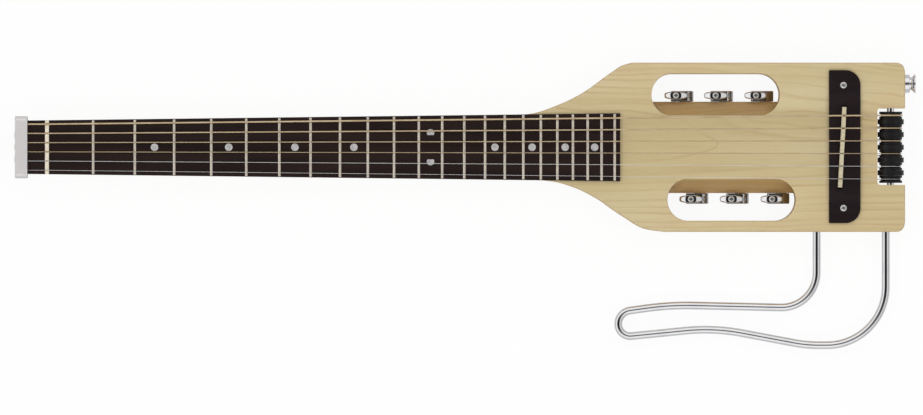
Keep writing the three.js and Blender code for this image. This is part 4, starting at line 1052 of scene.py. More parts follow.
def body_and_neck():
    wood = skin([wood_section(x) for x in wood_stations()])
    well = prism(rounded_rectangle(
        WELL_X, NOTCH_X + WELL_CORNER, -WELL_HALF, WELL_HALF, WELL_CORNER, 12),
        "z", -OVERRUN, WELL_DEPTH)
    notch = prism(rounded_rectangle(
        NOTCH_X, TAIL_X + OVERRUN, -NOTCH_HALF, NOTCH_HALF + NOTCH_BASS_ROOM, NOTCH_CORNER, 8),
        "z", -OVERRUN, FACE_Z + OVERRUN)
    bores = []
    for index in range(STRING_COUNT):
        side, button_x = tuner_of(index)
        low, high = sorted((side * (WELL_HALF - OVERRUN), side * (WALL_Y + OVERRUN)))
        bores.append(rod(BUSHING_RADIUS + GAP, "y", low, high, (button_x + WORM_TO_GEAR, 0, GEAR_Z)))
    axle_reach = NOTCH_HALF + AXLE_SEAT + GAP
    axle_bore = rod(AXLE_RADIUS + GAP, "y", -axle_reach, axle_reach, (AXLE_X, 0, AXLE_Z))
    socket_centre = (0, SOCKET_Y, SOCKET_Z)
    socket_bore = rod(SOCKET_RADIUS + GAP, "x", TAIL_X - SOCKET_LENGTH, TAIL_X + OVERRUN, socket_centre)
    screw_foot = BRIDGE_WING_Z - SCREW_LENGTH - SEAM
    screw_holes = [rod(SCREW_SHANK + GAP, "z", screw_foot, FACE_Z + OVERRUN, (SCREW_X, y, 0), 24)
                   for y in SCREW_YS]
    head_hole_end = HEAD_X - HEAD_SCREW_STAND_OFF + HEAD_SCREW_LENGTH + SEAM
    head_start = NECK_END_X - OVERRUN
    head_holes = [rod(HEAD_SCREW_SHANK + GAP, "x", head_start, head_hole_end, (0, y, HEAD_SCREW_Z), 24)
                  for y in HEAD_SCREW_Y]
    leg_start, leg_end = -BODY_HALF_WIDTH - OVERRUN, ROD_INSERTION + SEAM - BODY_HALF_WIDTH
    leg_holes = [rod(ROD_RADIUS + GAP, "y", leg_start, leg_end, (x, 0, MIDDLE_Z), 40)
                 for x in (FRONT_LEG_X, REAR_LEG_X)]
    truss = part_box("truss_rod")
    low, high = (TO_FRAME.inverted() @ corner for corner in truss)
    room = Vector((GAP, GAP, GAP))
    channel = block(low - room, (high.x + GAP, high.y + GAP, FACE_Z + OVERRUN))
    slots = gathered([tuner_slot(1, BASS_SLOT_X), tuner_slot(-1, TREBLE_SLOT_X)])
    holes = gathered([*screw_holes, *head_holes, *leg_holes, channel])
    cut(wood, slots, well, notch, gathered(bores), axle_bore, socket_bore, holes, *lead_channel())
    return finished(wood, "maple_body_and_neck", MAPLE, ["body_neck"], crease=40)


# Fingerboard, frets and dots

def board_section(x):
    """Cross section of the fingerboard: a round top over straight sides."""
    half = board_half(x)
    ring = [(x, y, BOARD_TOP_Z - arc_drop(y)) for y in evenly(half - BOARD_EDGE, BOARD_EDGE - half, 24)]
    side_z = BOARD_TOP_Z - arc_drop(half) - BOARD_EDGE
    ring += [(x, -half, side_z), (x, -half, FACE_Z + SEAM), (x, half, FACE_Z + SEAM), (x, half, side_z)]
    return ring


def board():
    made = skin([board_section(x) for x in evenly(NECK_END_X, BOARD_END_X, 40)])
    nut_slot = block(
        (-NUT_LENGTH - SEAM, -NUT_WIDTH, NUT_SLOT_Z),
        (SEAM, NUT_WIDTH, BOARD_TOP_Z + OVERRUN),
    )
    cut(made, nut_slot)
    return finished(made, "fingerboard_wood", ROSEWOOD, ["fingerboard"], crease=30)


def fret_plan(nodes, inputs):
    """Frets by the rule of the scale: each one stands a twelfth of an octave nearer to the saddle."""
    number = nodes.shape("InputIndex") + 1
    x = inputs["Scale length"] * (1 - 2 ** (number / inputs["Frets per octave"] * -1))
    half = inputs["Half width at the nut"] + x * inputs["Widening"] - inputs["Inset"]
    row = nodes.shape("Points", Count=inputs["Count"], Position=nodes.vector(x, 0, inputs["Top"]))
    line = nodes.shape("CurvePrimitiveLine", Start=(0, -1, 0), End=(0, 1, 0))
    fine = nodes.shape("ResampleCurve", Curve=line, Count=20)
    laid = nodes.shape("InstanceOnPoints", Points=row, Instance=fine, Scale=nodes.vector(1, half, 1))
    wires = nodes.shape("RealizeInstances", Geometry=laid)
    y = nodes.parts(nodes.shape("InputPosition"))[1]
    drop = inputs["Board radius"] - (inputs["Board radius"] ** 2 - y * y) ** 0.5
    arched = nodes.shape("SetPosition", Geometry=wires, Offset=nodes.vector(0, 0, drop * -1))
    upright = nodes.shape("SetCurveNormal", {"mode": "Z_UP"}, Curve=arched)
    crown = nodes.shape("CurvePrimitiveCircle", {"mode": "RADIUS"}, Resolution=20, Radius=1.0)
    size = nodes.vector(inputs["Fret width"] / 2, inputs["Fret height"], 1)
    squashed = nodes.shape("Transform", Geometry=crown, Scale=size)
    return nodes.shape("CurveToMesh", Curve=upright, Profile_Curve=squashed, Fill_Caps=True)


def frets():
    sizes = {
        "Count": FRET_COUNT,
        "Scale length": SCALE_LENGTH,
        "Frets per octave": float(FRETS_PER_OCTAVE),
        "Half width at the nut": NUT_WIDTH / 2,
        "Widening": (BOARD_END_WIDTH - NUT_WIDTH) / 2 / BOARD_END_X,
        "Inset": FRET_INSET,
        "Top": BOARD_TOP_Z,
        "Board radius": float(BOARD_RADIUS),
        "Fret width": FRET_WIDTH,
        "Fret height": FRET_HEIGHT,
    }
    made = grown("fret_row", points_form([(0, 0, 0)]), sizes, fret_plan, FRET_METAL)
    return finished(made, "frets", None, crease=50)


def dot_plan(nodes, inputs):
    """A thin round inlay on each point, its edge just proud of the wood."""
    disc = nodes.shape("MeshCylinder", Vertices=inputs["Sides"], Radius=inputs["Radius"],
                       Depth=inputs["Depth"])
    return nodes.shape("InstanceOnPoints", Points=inputs["Base"], Instance=disc)


def dots():
    places = [((fret_x(n) + fret_x(n - 1)) / 2, 0) for n in SINGLE_DOTS]
    middle = (fret_x(DOUBLE_DOT) + fret_x(DOUBLE_DOT - 1)) / 2
    places += [(middle, DOUBLE_DOT_Y), (middle, -DOUBLE_DOT_Y)]
    points = [(x, y, BOARD_TOP_Z - arc_drop(y) + DOT_PROUD - DOT_DEPTH / 2) for x, y in places]
    sizes = {"Sides": 40, "Radius": float(DOT_RADIUS), "Depth": DOT_DEPTH}
    made = grown("dot_row", points_form(points), sizes, dot_plan, PEARL)
    return finished(made, "position_dots", None)


def nut():
    half = NUT_WIDTH / 2
    crown = [(y, BOARD_TOP_Z - arc_drop(y) + NUT_ABOVE_BOARD) for y in evenly(half, -half, 24)]
    floor = NUT_SLOT_Z + SEAM
    blank = prism([*crown, (-half, floor), (half, floor)], "x", -NUT_LENGTH, 0)
    softened(blank, NUT_EDGE)
    for index in range(STRING_COUNT):
        radius = STRING_DIAMETERS[index] / 2 + GAP
        y = nut_y(index)
        z = NUT_STRING_Z - arc_drop(y) + STRING_DIAMETERS[index] / 2
        above = z + NUT_ABOVE_BOARD
        groove = [*arc(y, z, radius, 2, 4, 12), (y + radius, above), (y - radius, above)]
        cut(blank, prism(groove, "x", -NUT_LENGTH - OVERRUN, OVERRUN))
    return finished(blank, "string_nut", BONE, ["nut"])


# Strings

def spread(index):
    return index - (STRING_COUNT - 1) / 2


def nut_y(index):
    return spread(index) * NUT_PITCH


def saddle_y(index):
    return spread(index) * SADDLE_PITCH


def roller_y(index):
    return spread(index) * ROLLER_PITCH


def head_hole_z(index):
    return BOARD_TOP_Z - arc_drop(nut_y(index)) + STRING_HOLE_ABOVE_BOARD


def crossing_normal(roller, roller_reach, post, post_reach):
    """Direction of the straight run that passes under the roller and over the post."""
    away_x, away_z = post[0] - roller[0], post[1] - roller[1]
    heading = math.atan2(away_z, away_x)
    angle = math.acos(-(roller_reach + post_reach) / math.hypot(away_x, away_z))
    upward = next(pick for pick in (heading + angle, heading - angle) if math.sin(pick) > 0)
    return math.atan2(math.sin(upward), math.cos(upward))


def string_route(index):
    """Points from the ball end to the last turn on the post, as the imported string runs."""
    radius = STRING_DIAMETERS[index] / 2
    side, button_x = tuner_of(index)
    reach = GROOVE_RADIUS + GAP + radius
    winding = POST_RADIUS - POST_WAIST + GAP + radius
    pitch = radius * 2 + WINDING_GAP
    start_y = side * (WELL_HALF - POST_RIM - radius)
    post_x = button_x + WORM_TO_GEAR
    y_saddle = saddle_y(index)
    x_saddle = saddle_x(y_saddle)
    z_saddle = SADDLE_STRING_Z - arc_drop(y_saddle) + radius
    edge_x = x_saddle + SADDLE_THICKNESS / 2
    heading = math.atan2(z_saddle - AXLE_Z, edge_x - AXLE_X)
    landing = heading - math.acos(reach / math.hypot(z_saddle - AXLE_Z, edge_x - AXLE_X))
    normal = crossing_normal((AXLE_X, AXLE_Z), reach, (post_x, GEAR_Z), winding)
    leaving = normal - math.pi
    points = [
        (BALL_X + BALL_LENGTH - radius, nut_y(index), head_hole_z(index)),
        (NECK_END_X, nut_y(index), head_hole_z(index)),
        (-NUT_LENGTH / 2, nut_y(index), NUT_STRING_Z - arc_drop(nut_y(index)) + radius),
        (x_saddle - SADDLE_THICKNESS / 2, y_saddle, z_saddle),
        (edge_x, y_saddle, z_saddle),
    ]
    y_roller = roller_y(index)
    for angle in evenly(landing, leaving, 24):
        points.append((AXLE_X + math.cos(angle) * reach, y_roller, AXLE_Z + math.sin(angle) * reach))
    turn_steps = round(WINDING_TURNS * TURN_STEPS)
    for k in range(turn_steps + 1):
        angle = normal + 2 * math.pi * k / TURN_STEPS
        points.append((
            post_x + math.cos(angle) * winding,
            start_y - side * pitch * k / TURN_STEPS,
            GEAR_Z + math.sin(angle) * winding,
        ))
    return points


def swept(nodes, curve, inputs):
    """A round bar along a curve."""
    profile = nodes.shape("CurvePrimitiveCircle", {"mode": "RADIUS"},
                          Resolution=inputs["Sides"], Radius=inputs["Radius"])
    return nodes.shape("CurveToMesh", Curve=curve, Profile_Curve=profile, Fill_Caps=True)


def string_plan(nodes, inputs):
    """A round wire along the base line, with its running length kept on its surface."""
    line = nodes.shape("MeshToCurve", Mesh=inputs["Base"])
    length = nodes.shape("SplineParameter", output="Length")
    marked = nodes.shape("StoreNamedAttribute", {"data_type": "FLOAT", "domain": "POINT"},
                         Geometry=line, Name="run", Value=length)
    return swept(nodes, marked, inputs)


def string(index):
    """One string with its ball end."""
    number = index + 1
    diameter = STRING_DIAMETERS[index]
    wound = index >= PLAIN_STRINGS
    finish = STRING_STEEL
    if wound:
        light, dark = tint(236, 215, 178), tint(219, 194, 155)
        finish = wound_finish(f"wound_bronze_{number}", light, dark, diameter * WRAP_SHARE)
    sizes = {"Sides": 12, "Radius": diameter / 2}
    wire = grown(f"string_line_{number}", line_form(string_route(index)), sizes, string_plan, finish)
    finished(wire, f"string_wire_{number}", None,
             [f"string_{number}"], crease=70)
    half = [(BALL_BORE, 0), (BALL_RADIUS - BALL_EDGE, 0), (BALL_RADIUS, BALL_EDGE),
            (BALL_RADIUS, BALL_RIM), (BALL_WAIST, BALL_RIM_END)]
    profile = [*half, *[(radius, BALL_LENGTH - station) for radius, station in reversed(half)]]
    ball = turned(profile, "x", (BALL_X, nut_y(index), head_hole_z(index)), 32)
    return finished(ball, f"ball_end_{number}", BRASS)


# Head piece

def head_piece():
    shoulder = FACE_Z - NECK_SIDE_LAND
    belly = [(-HEAD_HALF * math.cos(a), shoulder - (shoulder - HEAD_LOW_Z) * math.sin(a))
             for a in (math.pi * k / 32 for k in range(1, 32))]
    outline = [
        (HEAD_HALF, shoulder),
        *arc(HEAD_HALF - HEAD_CORNER, HEAD_TOP_Z - HEAD_CORNER, HEAD_CORNER, 0, 1, 10),
        *arc(HEAD_CORNER - HEAD_HALF, HEAD_TOP_Z - HEAD_CORNER, HEAD_CORNER, 1, 2, 10),
        (-HEAD_HALF, shoulder),
        *belly,
    ]
    inner = NECK_END_X - SEAM
    made = softened(prism(outline, "x", HEAD_X, inner), HEAD_EDGE, 4, 40)
    before, after = HEAD_X - OVERRUN, inner + OVERRUN
    pockets = []
    for index in range(STRING_COUNT):
        centre = (0, nut_y(index), head_hole_z(index))
        pockets.append(rod(BALL_POCKET_RADIUS, "x", before, HEAD_X + BALL_POCKET_DEPTH, centre, 32))
        cut(made, rod(STRING_DIAMETERS[index] / 2 + GAP, "x", before, after, centre, 16))
    seat = HEAD_X - HEAD_SCREW_STAND_OFF + HEAD_SCREW_HEIGHT + SEAM
    for y in HEAD_SCREW_Y:
        centre = (0, y, HEAD_SCREW_Z)
        pockets.append(rod(HEAD_SCREW_RADIUS + GAP, "x", before, seat, centre, 40))
        cut(made, rod(HEAD_SCREW_SHANK + GAP, "x", before, after, centre, 24))
    cut(made, gathered(pockets))
    return finished(made, "string_anchor", GREY_METAL, ["head_piece"])


def head_screw(number, y):
    """Cap screw with a six-sided recess."""
    start = HEAD_X - HEAD_SCREW_STAND_OFF
    height = HEAD_SCREW_HEIGHT
    rim = [(HEAD_SCREW_RADIUS - inward, station) for inward, station in HEAD_SCREW_RIM]
    profile = [(ON_AXIS, 0), *rim, (HEAD_SCREW_RADIUS, height), (HEAD_SCREW_SHANK, height),
               (HEAD_SCREW_SHANK, HEAD_SCREW_LENGTH), (ON_AXIS, HEAD_SCREW_LENGTH)]
    made = turned(profile, "x", (start, y, HEAD_SCREW_Z), 40)
    recess_end = start + HEAD_SCREW_RECESS_DEPTH
    cut(made, rod(HEAD_SCREW_RECESS, "x", start - 1, recess_end, (0, y, HEAD_SCREW_Z), segments=6))
    return finished(made, f"anchor_screw_{number}", STEEL, [f"head_screw_{number}"])


# Tuning machines, drawn round the button's foot on the bass side: x along the neck, y out from the wall

def tuner_place(index):
    side, button_x = tuner_of(index)
    return Matrix.Translation((button_x, side * WALL_Y, 0)) @ Matrix.Diagonal((1, side, 1, 1))


def housing():
    low, high = GEAR_Z - HOUSING_HALF_HEIGHT, GEAR_Z + HOUSING_HALF_HEIGHT
    corner_x = HOUSING_CORNER - HOUSING_BEHIND
    outline = [
        *arc(WORM_TO_GEAR, GEAR_Z, HOUSING_HALF_HEIGHT, -1, 1, 32),
        *arc(corner_x, high - HOUSING_CORNER, HOUSING_CORNER, 1, 2, 6),
        *arc(corner_x, low + HOUSING_CORNER, HOUSING_CORNER, 2, 3, 6),
    ]
    shell = softened(prism(outline, "y", SEAM, HOUSING_THICKNESS), HOUSING_EDGE, 4, 50)
    centre = (WORM_TO_GEAR, 0, GEAR_Z)
    worm_centre = (0, BUTTON_FROM_WALL, 0)
    bushing = rod(BUSHING_RADIUS, "y", SEAM - WALL_THICKNESS, SEAM + BUSHING_IN_CASE, centre)
    made = joined(shell, bushing)
    half = GEAR_WIDTH / 2 + GAP
    return cut(
        made,
        rod(POST_RADIUS + GAP, "y", -WALL_Y, BUTTON_FROM_WALL, centre),
        rod(GEAR_TIP + GAP, "y", BUTTON_FROM_WALL - half, BUTTON_FROM_WALL + half, centre),
        rod(WORM_OUTER + GAP, "z", GEAR_Z - WORM_ROOM, GEAR_Z + WORM_ROOM, worm_centre, 32),
        rod(WORM_CORE + GAP, "z", GEAR_Z, high + OVERRUN, worm_centre, 32),
    )


def gear_plan(nodes, inputs):
    """Teeth of the worm wheel, one on each share of a turn."""
    angle = math.pi + (nodes.shape("InputIndex") + 0.5) * (2 * math.pi) / inputs["Teeth"]
    reach = inputs["Root radius"]
    place = nodes.vector(angle.maths("COSINE") * reach, 0, angle.maths("SINE") * reach)
    row = nodes.shape("Points", Count=inputs["Teeth"], Position=place)
    lean = nodes.vector(0, angle * -1, 0)
    rotation = nodes.node("FunctionNodeEulerToRotation", inputs={0: lean})
    return nodes.shape("InstanceOnPoints", Points=row, Instance=inputs["Base"], Rotation=rotation)


def string_post():
    """Post with its waist for the string, and the worm wheel on its inner end."""
    step = 2 * math.pi / GEAR_TEETH
    root, tip = GEAR_TIP - TOOTH_HEIGHT, GEAR_TIP
    foot = root * math.sin(step * TOOTH_ROOT_SHARE / 2)
    head = tip * math.sin(step * TOOTH_TIP_SHARE / 2)
    tooth = prism(
        [(-TOOTH_SINK, -foot), (TOOTH_HEIGHT, -head), (TOOTH_HEIGHT, head), (-TOOTH_SINK, foot)],
        "y", BUTTON_FROM_WALL - GEAR_WIDTH / 2, BUTTON_FROM_WALL + GEAR_WIDTH / 2,
    )
    teeth = grown("wheel_teeth", tooth, {"Teeth": GEAR_TEETH, "Root radius": root}, gear_plan, BRONZE)
    waist = POST_RADIUS - POST_WAIST
    waist_start = -WALL_THICKNESS - POST_RIM / 2
    half = GEAR_WIDTH / 2
    profile = [
        (ON_AXIS, -POST_REACH), (POST_RADIUS - POST_EDGE, -POST_REACH),
        (POST_RADIUS, POST_EDGE - POST_REACH), (POST_RADIUS, POST_RIM - POST_REACH),
        (waist, POST_RIM + POST_WAIST_SLOPE - POST_REACH), (waist, waist_start - POST_WAIST_SLOPE),
        (POST_RADIUS, waist_start), (POST_RADIUS, BUTTON_FROM_WALL - half),
        (root, BUTTON_FROM_WALL - half), (root, BUTTON_FROM_WALL + half),
        (ON_AXIS, BUTTON_FROM_WALL + half),
    ]
    made = joined(turned(profile, "y", segments=56), teeth)
    cut(made, rod(POST_HOLE, "z", -OVERRUN, OVERRUN, (0, waist_start - POST_HOLE_FROM_WALL, 0), 20))
    return transformed(made, Matrix.Translation((WORM_TO_GEAR, 0, GEAR_Z)))


def button():
    """Bow-shaped button with soft edges, its flat hub, its neck and its worm."""
    half = BUTTON_WIDTH / 2
    middle_z = BUTTON_BASE_Z + BUTTON_HEIGHT / 2
    top = BUTTON_BASE_Z + BUTTON_HEIGHT
    stations, around = 56, 64
    rings = []
    for i in range(1, stations):
        share = math.sin(math.pi / 2 * (2 * i / stations - 1))
        wide = abs(share)
        tip = math.sqrt(1 - (max(0, wide - BUTTON_TIP_START) / (1 - BUTTON_TIP_START)) ** 2)
        rise = through_shares(BUTTON_TOPS, wide) * tip * BUTTON_HEIGHT / 2
        drop = math.sqrt(1 - wide ** 2) * BUTTON_HEIGHT / 2
        thick = through_shares(BUTTON_SHARES, wide) * tip * BUTTON_THICKNESS / 2
        ring = []
        for cosine, sine in turn(around):
            y, z = squared_round(cosine, sine)
            ring.append((share * half, y * thick, middle_z + z * (rise if z > 0 else drop)))
        rings.append(ring)
    paddle = skin(rings)
    core_top = GEAR_Z + HOUSING_HALF_HEIGHT + GAP
    thread_half = THREAD_PITCH * THREAD_TURNS / 2 + GAP
    inside_button = BUTTON_BASE_Z + BUTTON_HEIGHT / 5
    spindle = turned([
        (ON_AXIS, GEAR_Z - thread_half), (WORM_CORE, GEAR_Z - thread_half), (WORM_CORE, core_top),
        (BUTTON_NECK - BUTTON_NECK_EDGE, core_top),
        *[(BUTTON_NECK * share, core_top + rise) for share, rise in BUTTON_NECK_RINGS],
        (BUTTON_NECK, inside_button), (ON_AXIS, inside_button),
    ], "z", segments=48)
    hub_top = top - BUTTON_TOP_FLAT
    hub_thick = BUTTON_THICKNESS / 2
    hub = block((-BUTTON_HUB, -hub_thick, middle_z), (BUTTON_HUB, hub_thick, hub_top))
    softened(hub, BUTTON_HUB_EDGE, 4)
    cut(paddle, block((-half, -BUTTON_THICKNESS, hub_top), (half, BUTTON_THICKNESS, top + OVERRUN)))
    made = joined(paddle, spindle, hub, worm_thread())
    seat = rod(BUTTON_SCREW_RADIUS + SEAM, "z", top - BUTTON_SCREW_HEIGHT, top + OVERRUN)
    hole = rod(BUTTON_SCREW_SHANK + GAP, "z", top - BUTTON_SCREW_LENGTH, top + OVERRUN, segments=24)
    cut(made, seat, hole)
    return transformed(made, Matrix.Translation((0, BUTTON_FROM_WALL, 0)))


def squared_round(x, y):
    """A point of the unit circle, pushed out towards the corners of its square."""
    return tuple(math.copysign(abs(value) ** BUTTON_SQUARENESS, value) for value in (x, y))


def worm_thread():
    per_turn = 32
    root = WORM_CORE - (WORM_OUTER - WORM_CORE) / 4
    rings = []
    for k in range(THREAD_TURNS * per_turn + 1):
        turns = k / per_turn - THREAD_TURNS / 2
        angle = 2 * math.pi * turns
        z = GEAR_Z + THREAD_PITCH * turns
        rings.append([
            (math.cos(angle) * radius, math.sin(angle) * radius, z + lift)
            for radius, lift in (
                (root, -THREAD_ROOT / 2), (WORM_OUTER, -THREAD_CREST / 2),
                (WORM_OUTER, THREAD_CREST / 2), (root, THREAD_ROOT / 2),
            )
        ])
    return skin(rings)


def cross_recess(radius, depth, width, top):
    """Cutter for a cross drive, tapering down from the top of a screw head."""
    rings = []
    for share, z in ((RECESS_MOUTH, top + GAP), (1, top), (RECESS_FOOT, top - depth)):
        reach, arm = radius * share, width / 2 * share
        ring = []
        for quarter in range(4):
            aside = Matrix.Rotation(math.pi / 2 * quarter, 3, "Z")
            for x, y in ((reach, -arm), (reach, arm), (arm, arm)):
                spot = aside @ Vector((x, y, 0))
                ring.append((spot.x, spot.y, z))
        rings.append(ring)
    return skin(rings)


def button_screw():
    top = BUTTON_BASE_Z + BUTTON_HEIGHT
    seat = top - BUTTON_SCREW_HEIGHT + SEAM
    foot = top - BUTTON_SCREW_LENGTH + SEAM
    dome = [(BUTTON_SCREW_RADIUS - inward, top - down) for inward, down in BUTTON_SCREW_DOME]
    made = turned([
        (ON_AXIS, foot), (BUTTON_SCREW_SHANK, foot), (BUTTON_SCREW_SHANK, seat),
        (BUTTON_SCREW_RADIUS, seat), *dome, (ON_AXIS, top),
    ], "z", segments=48)
    cut(made, cross_recess(radius=1.55, depth=1.6, width=0.95, top=top))
    return transformed(made, Matrix.Translation((0, BUTTON_FROM_WALL, 0)))


def tuners():
    """Each part is drawn once and copied to its six places, mirrored on the treble side."""
    for make, finish, slot, name, node, body in (
        (housing, NICKEL, "chrome", "machine_case", "tuner_housing", "guitar"),
        (string_post, STEEL, "steel", "winding_post", "string_post", "post_body_{}"),
        (button, CHROME, "chrome", "turning_button", "tuner_button", "button_body_{}"),
        (button_screw, STEEL, "steel", "button_fastener", "button_screw", "button_body_{}"),
    ):
        master = make()
        for index in range(STRING_COUNT):
            number = index + 1
            copy = transformed(added(name, master.data.copy()), tuner_place(index))
            finished(copy, f"{name}_{number}", finish, [f"{node}_{number}"], body.format(number))
        discard(master)


# Roller tailpiece

def roller_profile():
    """Profile of a roller: two rims with a smooth groove between them."""
    half = ROLLER_WIDTH / 2 + ROLLER_SKIRT
    rim = ROLLER_WIDTH / 2 - ROLLER_RIM
    steps = 7
    side = [(ROLLER_BORE, half), (ROLLER_RADIUS - ROLLER_EDGE, half),
            (ROLLER_RADIUS, half - ROLLER_EDGE), (ROLLER_RADIUS, rim + ROLLER_RIM_EDGE)]
    flank = []
    for k in range(1, steps + 1):
        radius = lerp(ROLLER_RADIUS, GROOVE_RADIUS, smooth_step(k, 0, steps))
        flank.append((radius, lerp(rim, ROLLER_FLOOR / 2, k / steps)))
    upper = [*side, *flank]
    lower = [(radius, -station) for radius, station in reversed(upper)]
    return [*upper, *lower]


def spacer_profile():
    half = SPACER_WIDTH / 2
    return [
        (ROLLER_BORE, half), (SPACER_RADIUS - ROLLER_EDGE, half), (SPACER_RADIUS, half - ROLLER_EDGE),
        (SPACER_RADIUS, ROLLER_EDGE - half), (SPACER_RADIUS - ROLLER_EDGE, -half), (ROLLER_BORE, -half),
    ]


def tailpiece():
    for index in range(STRING_COUNT):
        number = index + 1
        made = turned(roller_profile(), "y", (AXLE_X, roller_y(index), AXLE_Z), 80)
        finished(made, f"string_roller_{number}", BLACK, [f"roller_{number}"],
                 f"roller_body_{number}")
    for index in range(STRING_COUNT - 1):
        number = index + 1
        y = (roller_y(index) + roller_y(number)) / 2
        made = turned(spacer_profile(), "y", (AXLE_X, y, AXLE_Z), 80)
        finished(made, f"roller_disc_{number}", BLACK, [f"roller_spacer_{number}"])
    reach = NOTCH_HALF + AXLE_SEAT
    profile = [(ON_AXIS, -reach), (AXLE_RADIUS - AXLE_EDGE, -reach), (AXLE_RADIUS, AXLE_EDGE - reach),
               (AXLE_RADIUS, reach - AXLE_EDGE), (AXLE_RADIUS - AXLE_EDGE, reach), (ON_AXIS, reach)]
    made = turned(profile, "y", (AXLE_X, 0, AXLE_Z))
    return finished(made, "tail_axle", CHROME, ["roller_axle"])


# Bridge and saddle

def saddle_room(low_z, high_z):
    """Cutter of the saddle's slot, a little longer than the saddle."""
    long, thick = SADDLE_LENGTH / 2 + SADDLE_END_GAP, SADDLE_THICKNESS / 2 + GAP
    made = block((-thick, -long, low_z), (thick, long, high_z))
    return transformed(made, SADDLE_PLACE)


def bridge():
    """Square towards the neck, round towards the tail, its wings scooped thinner than its middle."""
    end_x = BRIDGE_X + BRIDGE_LENGTH
    corner = BRIDGE_CORNER
    plan = [
        (BRIDGE_X, -BRIDGE_TREBLE_Y),
        *arc(end_x - corner, corner - BRIDGE_TREBLE_Y, corner, -1, 0, 16),
        *arc(end_x - corner, BRIDGE_BASS_Y - corner, corner, 0, 1, 16),
        (BRIDGE_X, BRIDGE_BASS_Y),
    ]
    made = prism(plan, "z", FACE_Z + SEAM, BRIDGE_TOP_Z)
    bass = [(BRIDGE_CROWN + BRIDGE_SCOOP * s, lerp(BRIDGE_TOP_Z, BRIDGE_WING_Z, 1 - (1 - s) ** 2))
            for s in evenly(0, 1, 14)]
    side = [
        (-BRIDGE_TREBLE_Y - OVERRUN, FACE_Z - OVERRUN),
        (BRIDGE_BASS_Y + OVERRUN, FACE_Z - OVERRUN),
        (BRIDGE_BASS_Y + OVERRUN, BRIDGE_WING_Z),
        *reversed(bass),
        (BRIDGE_CROWN - BRIDGE_SCOOP_LEAD, BRIDGE_TOP_Z + SEAM),
        (BRIDGE_SCOOP_LEAD - BRIDGE_CROWN, BRIDGE_TOP_Z + SEAM),
        *[(-y, z) for y, z in bass],
        (-BRIDGE_TREBLE_Y - OVERRUN, BRIDGE_WING_Z),
    ]
    shaped(made, prism(side, "x", BRIDGE_X - OVERRUN, end_x + OVERRUN), "INTERSECT")
    softened(made, BRIDGE_EDGE, 3, 40)
    holes = [rod(SCREW_SHANK + GAP, "z", FACE_Z - OVERRUN, BRIDGE_TOP_Z + OVERRUN, (SCREW_X, y, 0), 32)
             for y in SCREW_YS]
    cut(made, saddle_room(SADDLE_FLOOR_Z, BRIDGE_TOP_Z + OVERRUN), gathered(holes), lead_channel_top())
    return finished(made, "bridge_wood", EBONY, ["bridge"])


def lead_channel_top():
    y = SADDLE_LENGTH / 2 - LEAD_FROM_SADDLE_END
    return rod(LEAD_RADIUS, "z", FACE_Z - OVERRUN, BRIDGE_TOP_Z, (saddle_x(y), y, 0), 20)


def saddle():
    """Bone strip whose round crown follows the fingerboard's curve."""
    half = SADDLE_LENGTH / 2
    thick = SADDLE_THICKNESS / 2
    floor = SADDLE_FLOOR_Z + PICKUP_THICKNESS + 2 * SEAM
    rings = []
    for y in evenly(half, -half, 48):
        top = SADDLE_STRING_Z - arc_drop(y) - GAP - round_in(half - abs(y), SADDLE_END_ROUND)
        crown = [(thick * share, top - SADDLE_CROWN * share ** 4) for share in evenly(1, -1, 8)]
        rings.append([(x, y, z) for x, z in [*crown, (-thick, floor), (thick, floor)]])
    made = transformed(skin(rings), SADDLE_PLACE)
    return finished(made, "string_saddle", SADDLE_BONE, ["saddle"])


def bridge_screws():
    """Pan head screws with a cross drive."""
    seat = BRIDGE_WING_Z + SEAM
    foot = seat - SEAM - SCREW_LENGTH
    top = seat + SCREW_HEAD_HEIGHT
    crown = [(SCREW_HEAD * x, seat + SCREW_HEAD_RIM + (SCREW_HEAD_HEIGHT - SCREW_HEAD_RIM) * z)
             for x, z in arc(0, 0, 1, 0, 1, 8)[:-1]]
    profile = [(ON_AXIS, foot), (SCREW_SHANK, foot + SCREW_SHANK), (SCREW_SHANK, seat),
               (SCREW_HEAD, seat), *crown, (ON_AXIS, top)]
    stopped = Matrix.Rotation(SCREW_STOPPED_AT, 4, "Z")
    for y, side in zip(SCREW_YS, ("bass", "treble")):
        made = turned(profile, "z", segments=48)
        cut(made, cross_recess(radius=1.75, depth=1.0, width=0.8, top=top))
        transformed(made, Matrix.Translation((SCREW_X, y, 0)) @ stopped)
        finished(made, f"cross_screw_{side}", STEEL, [f"bridge_screw_{side}"])


# Output socket

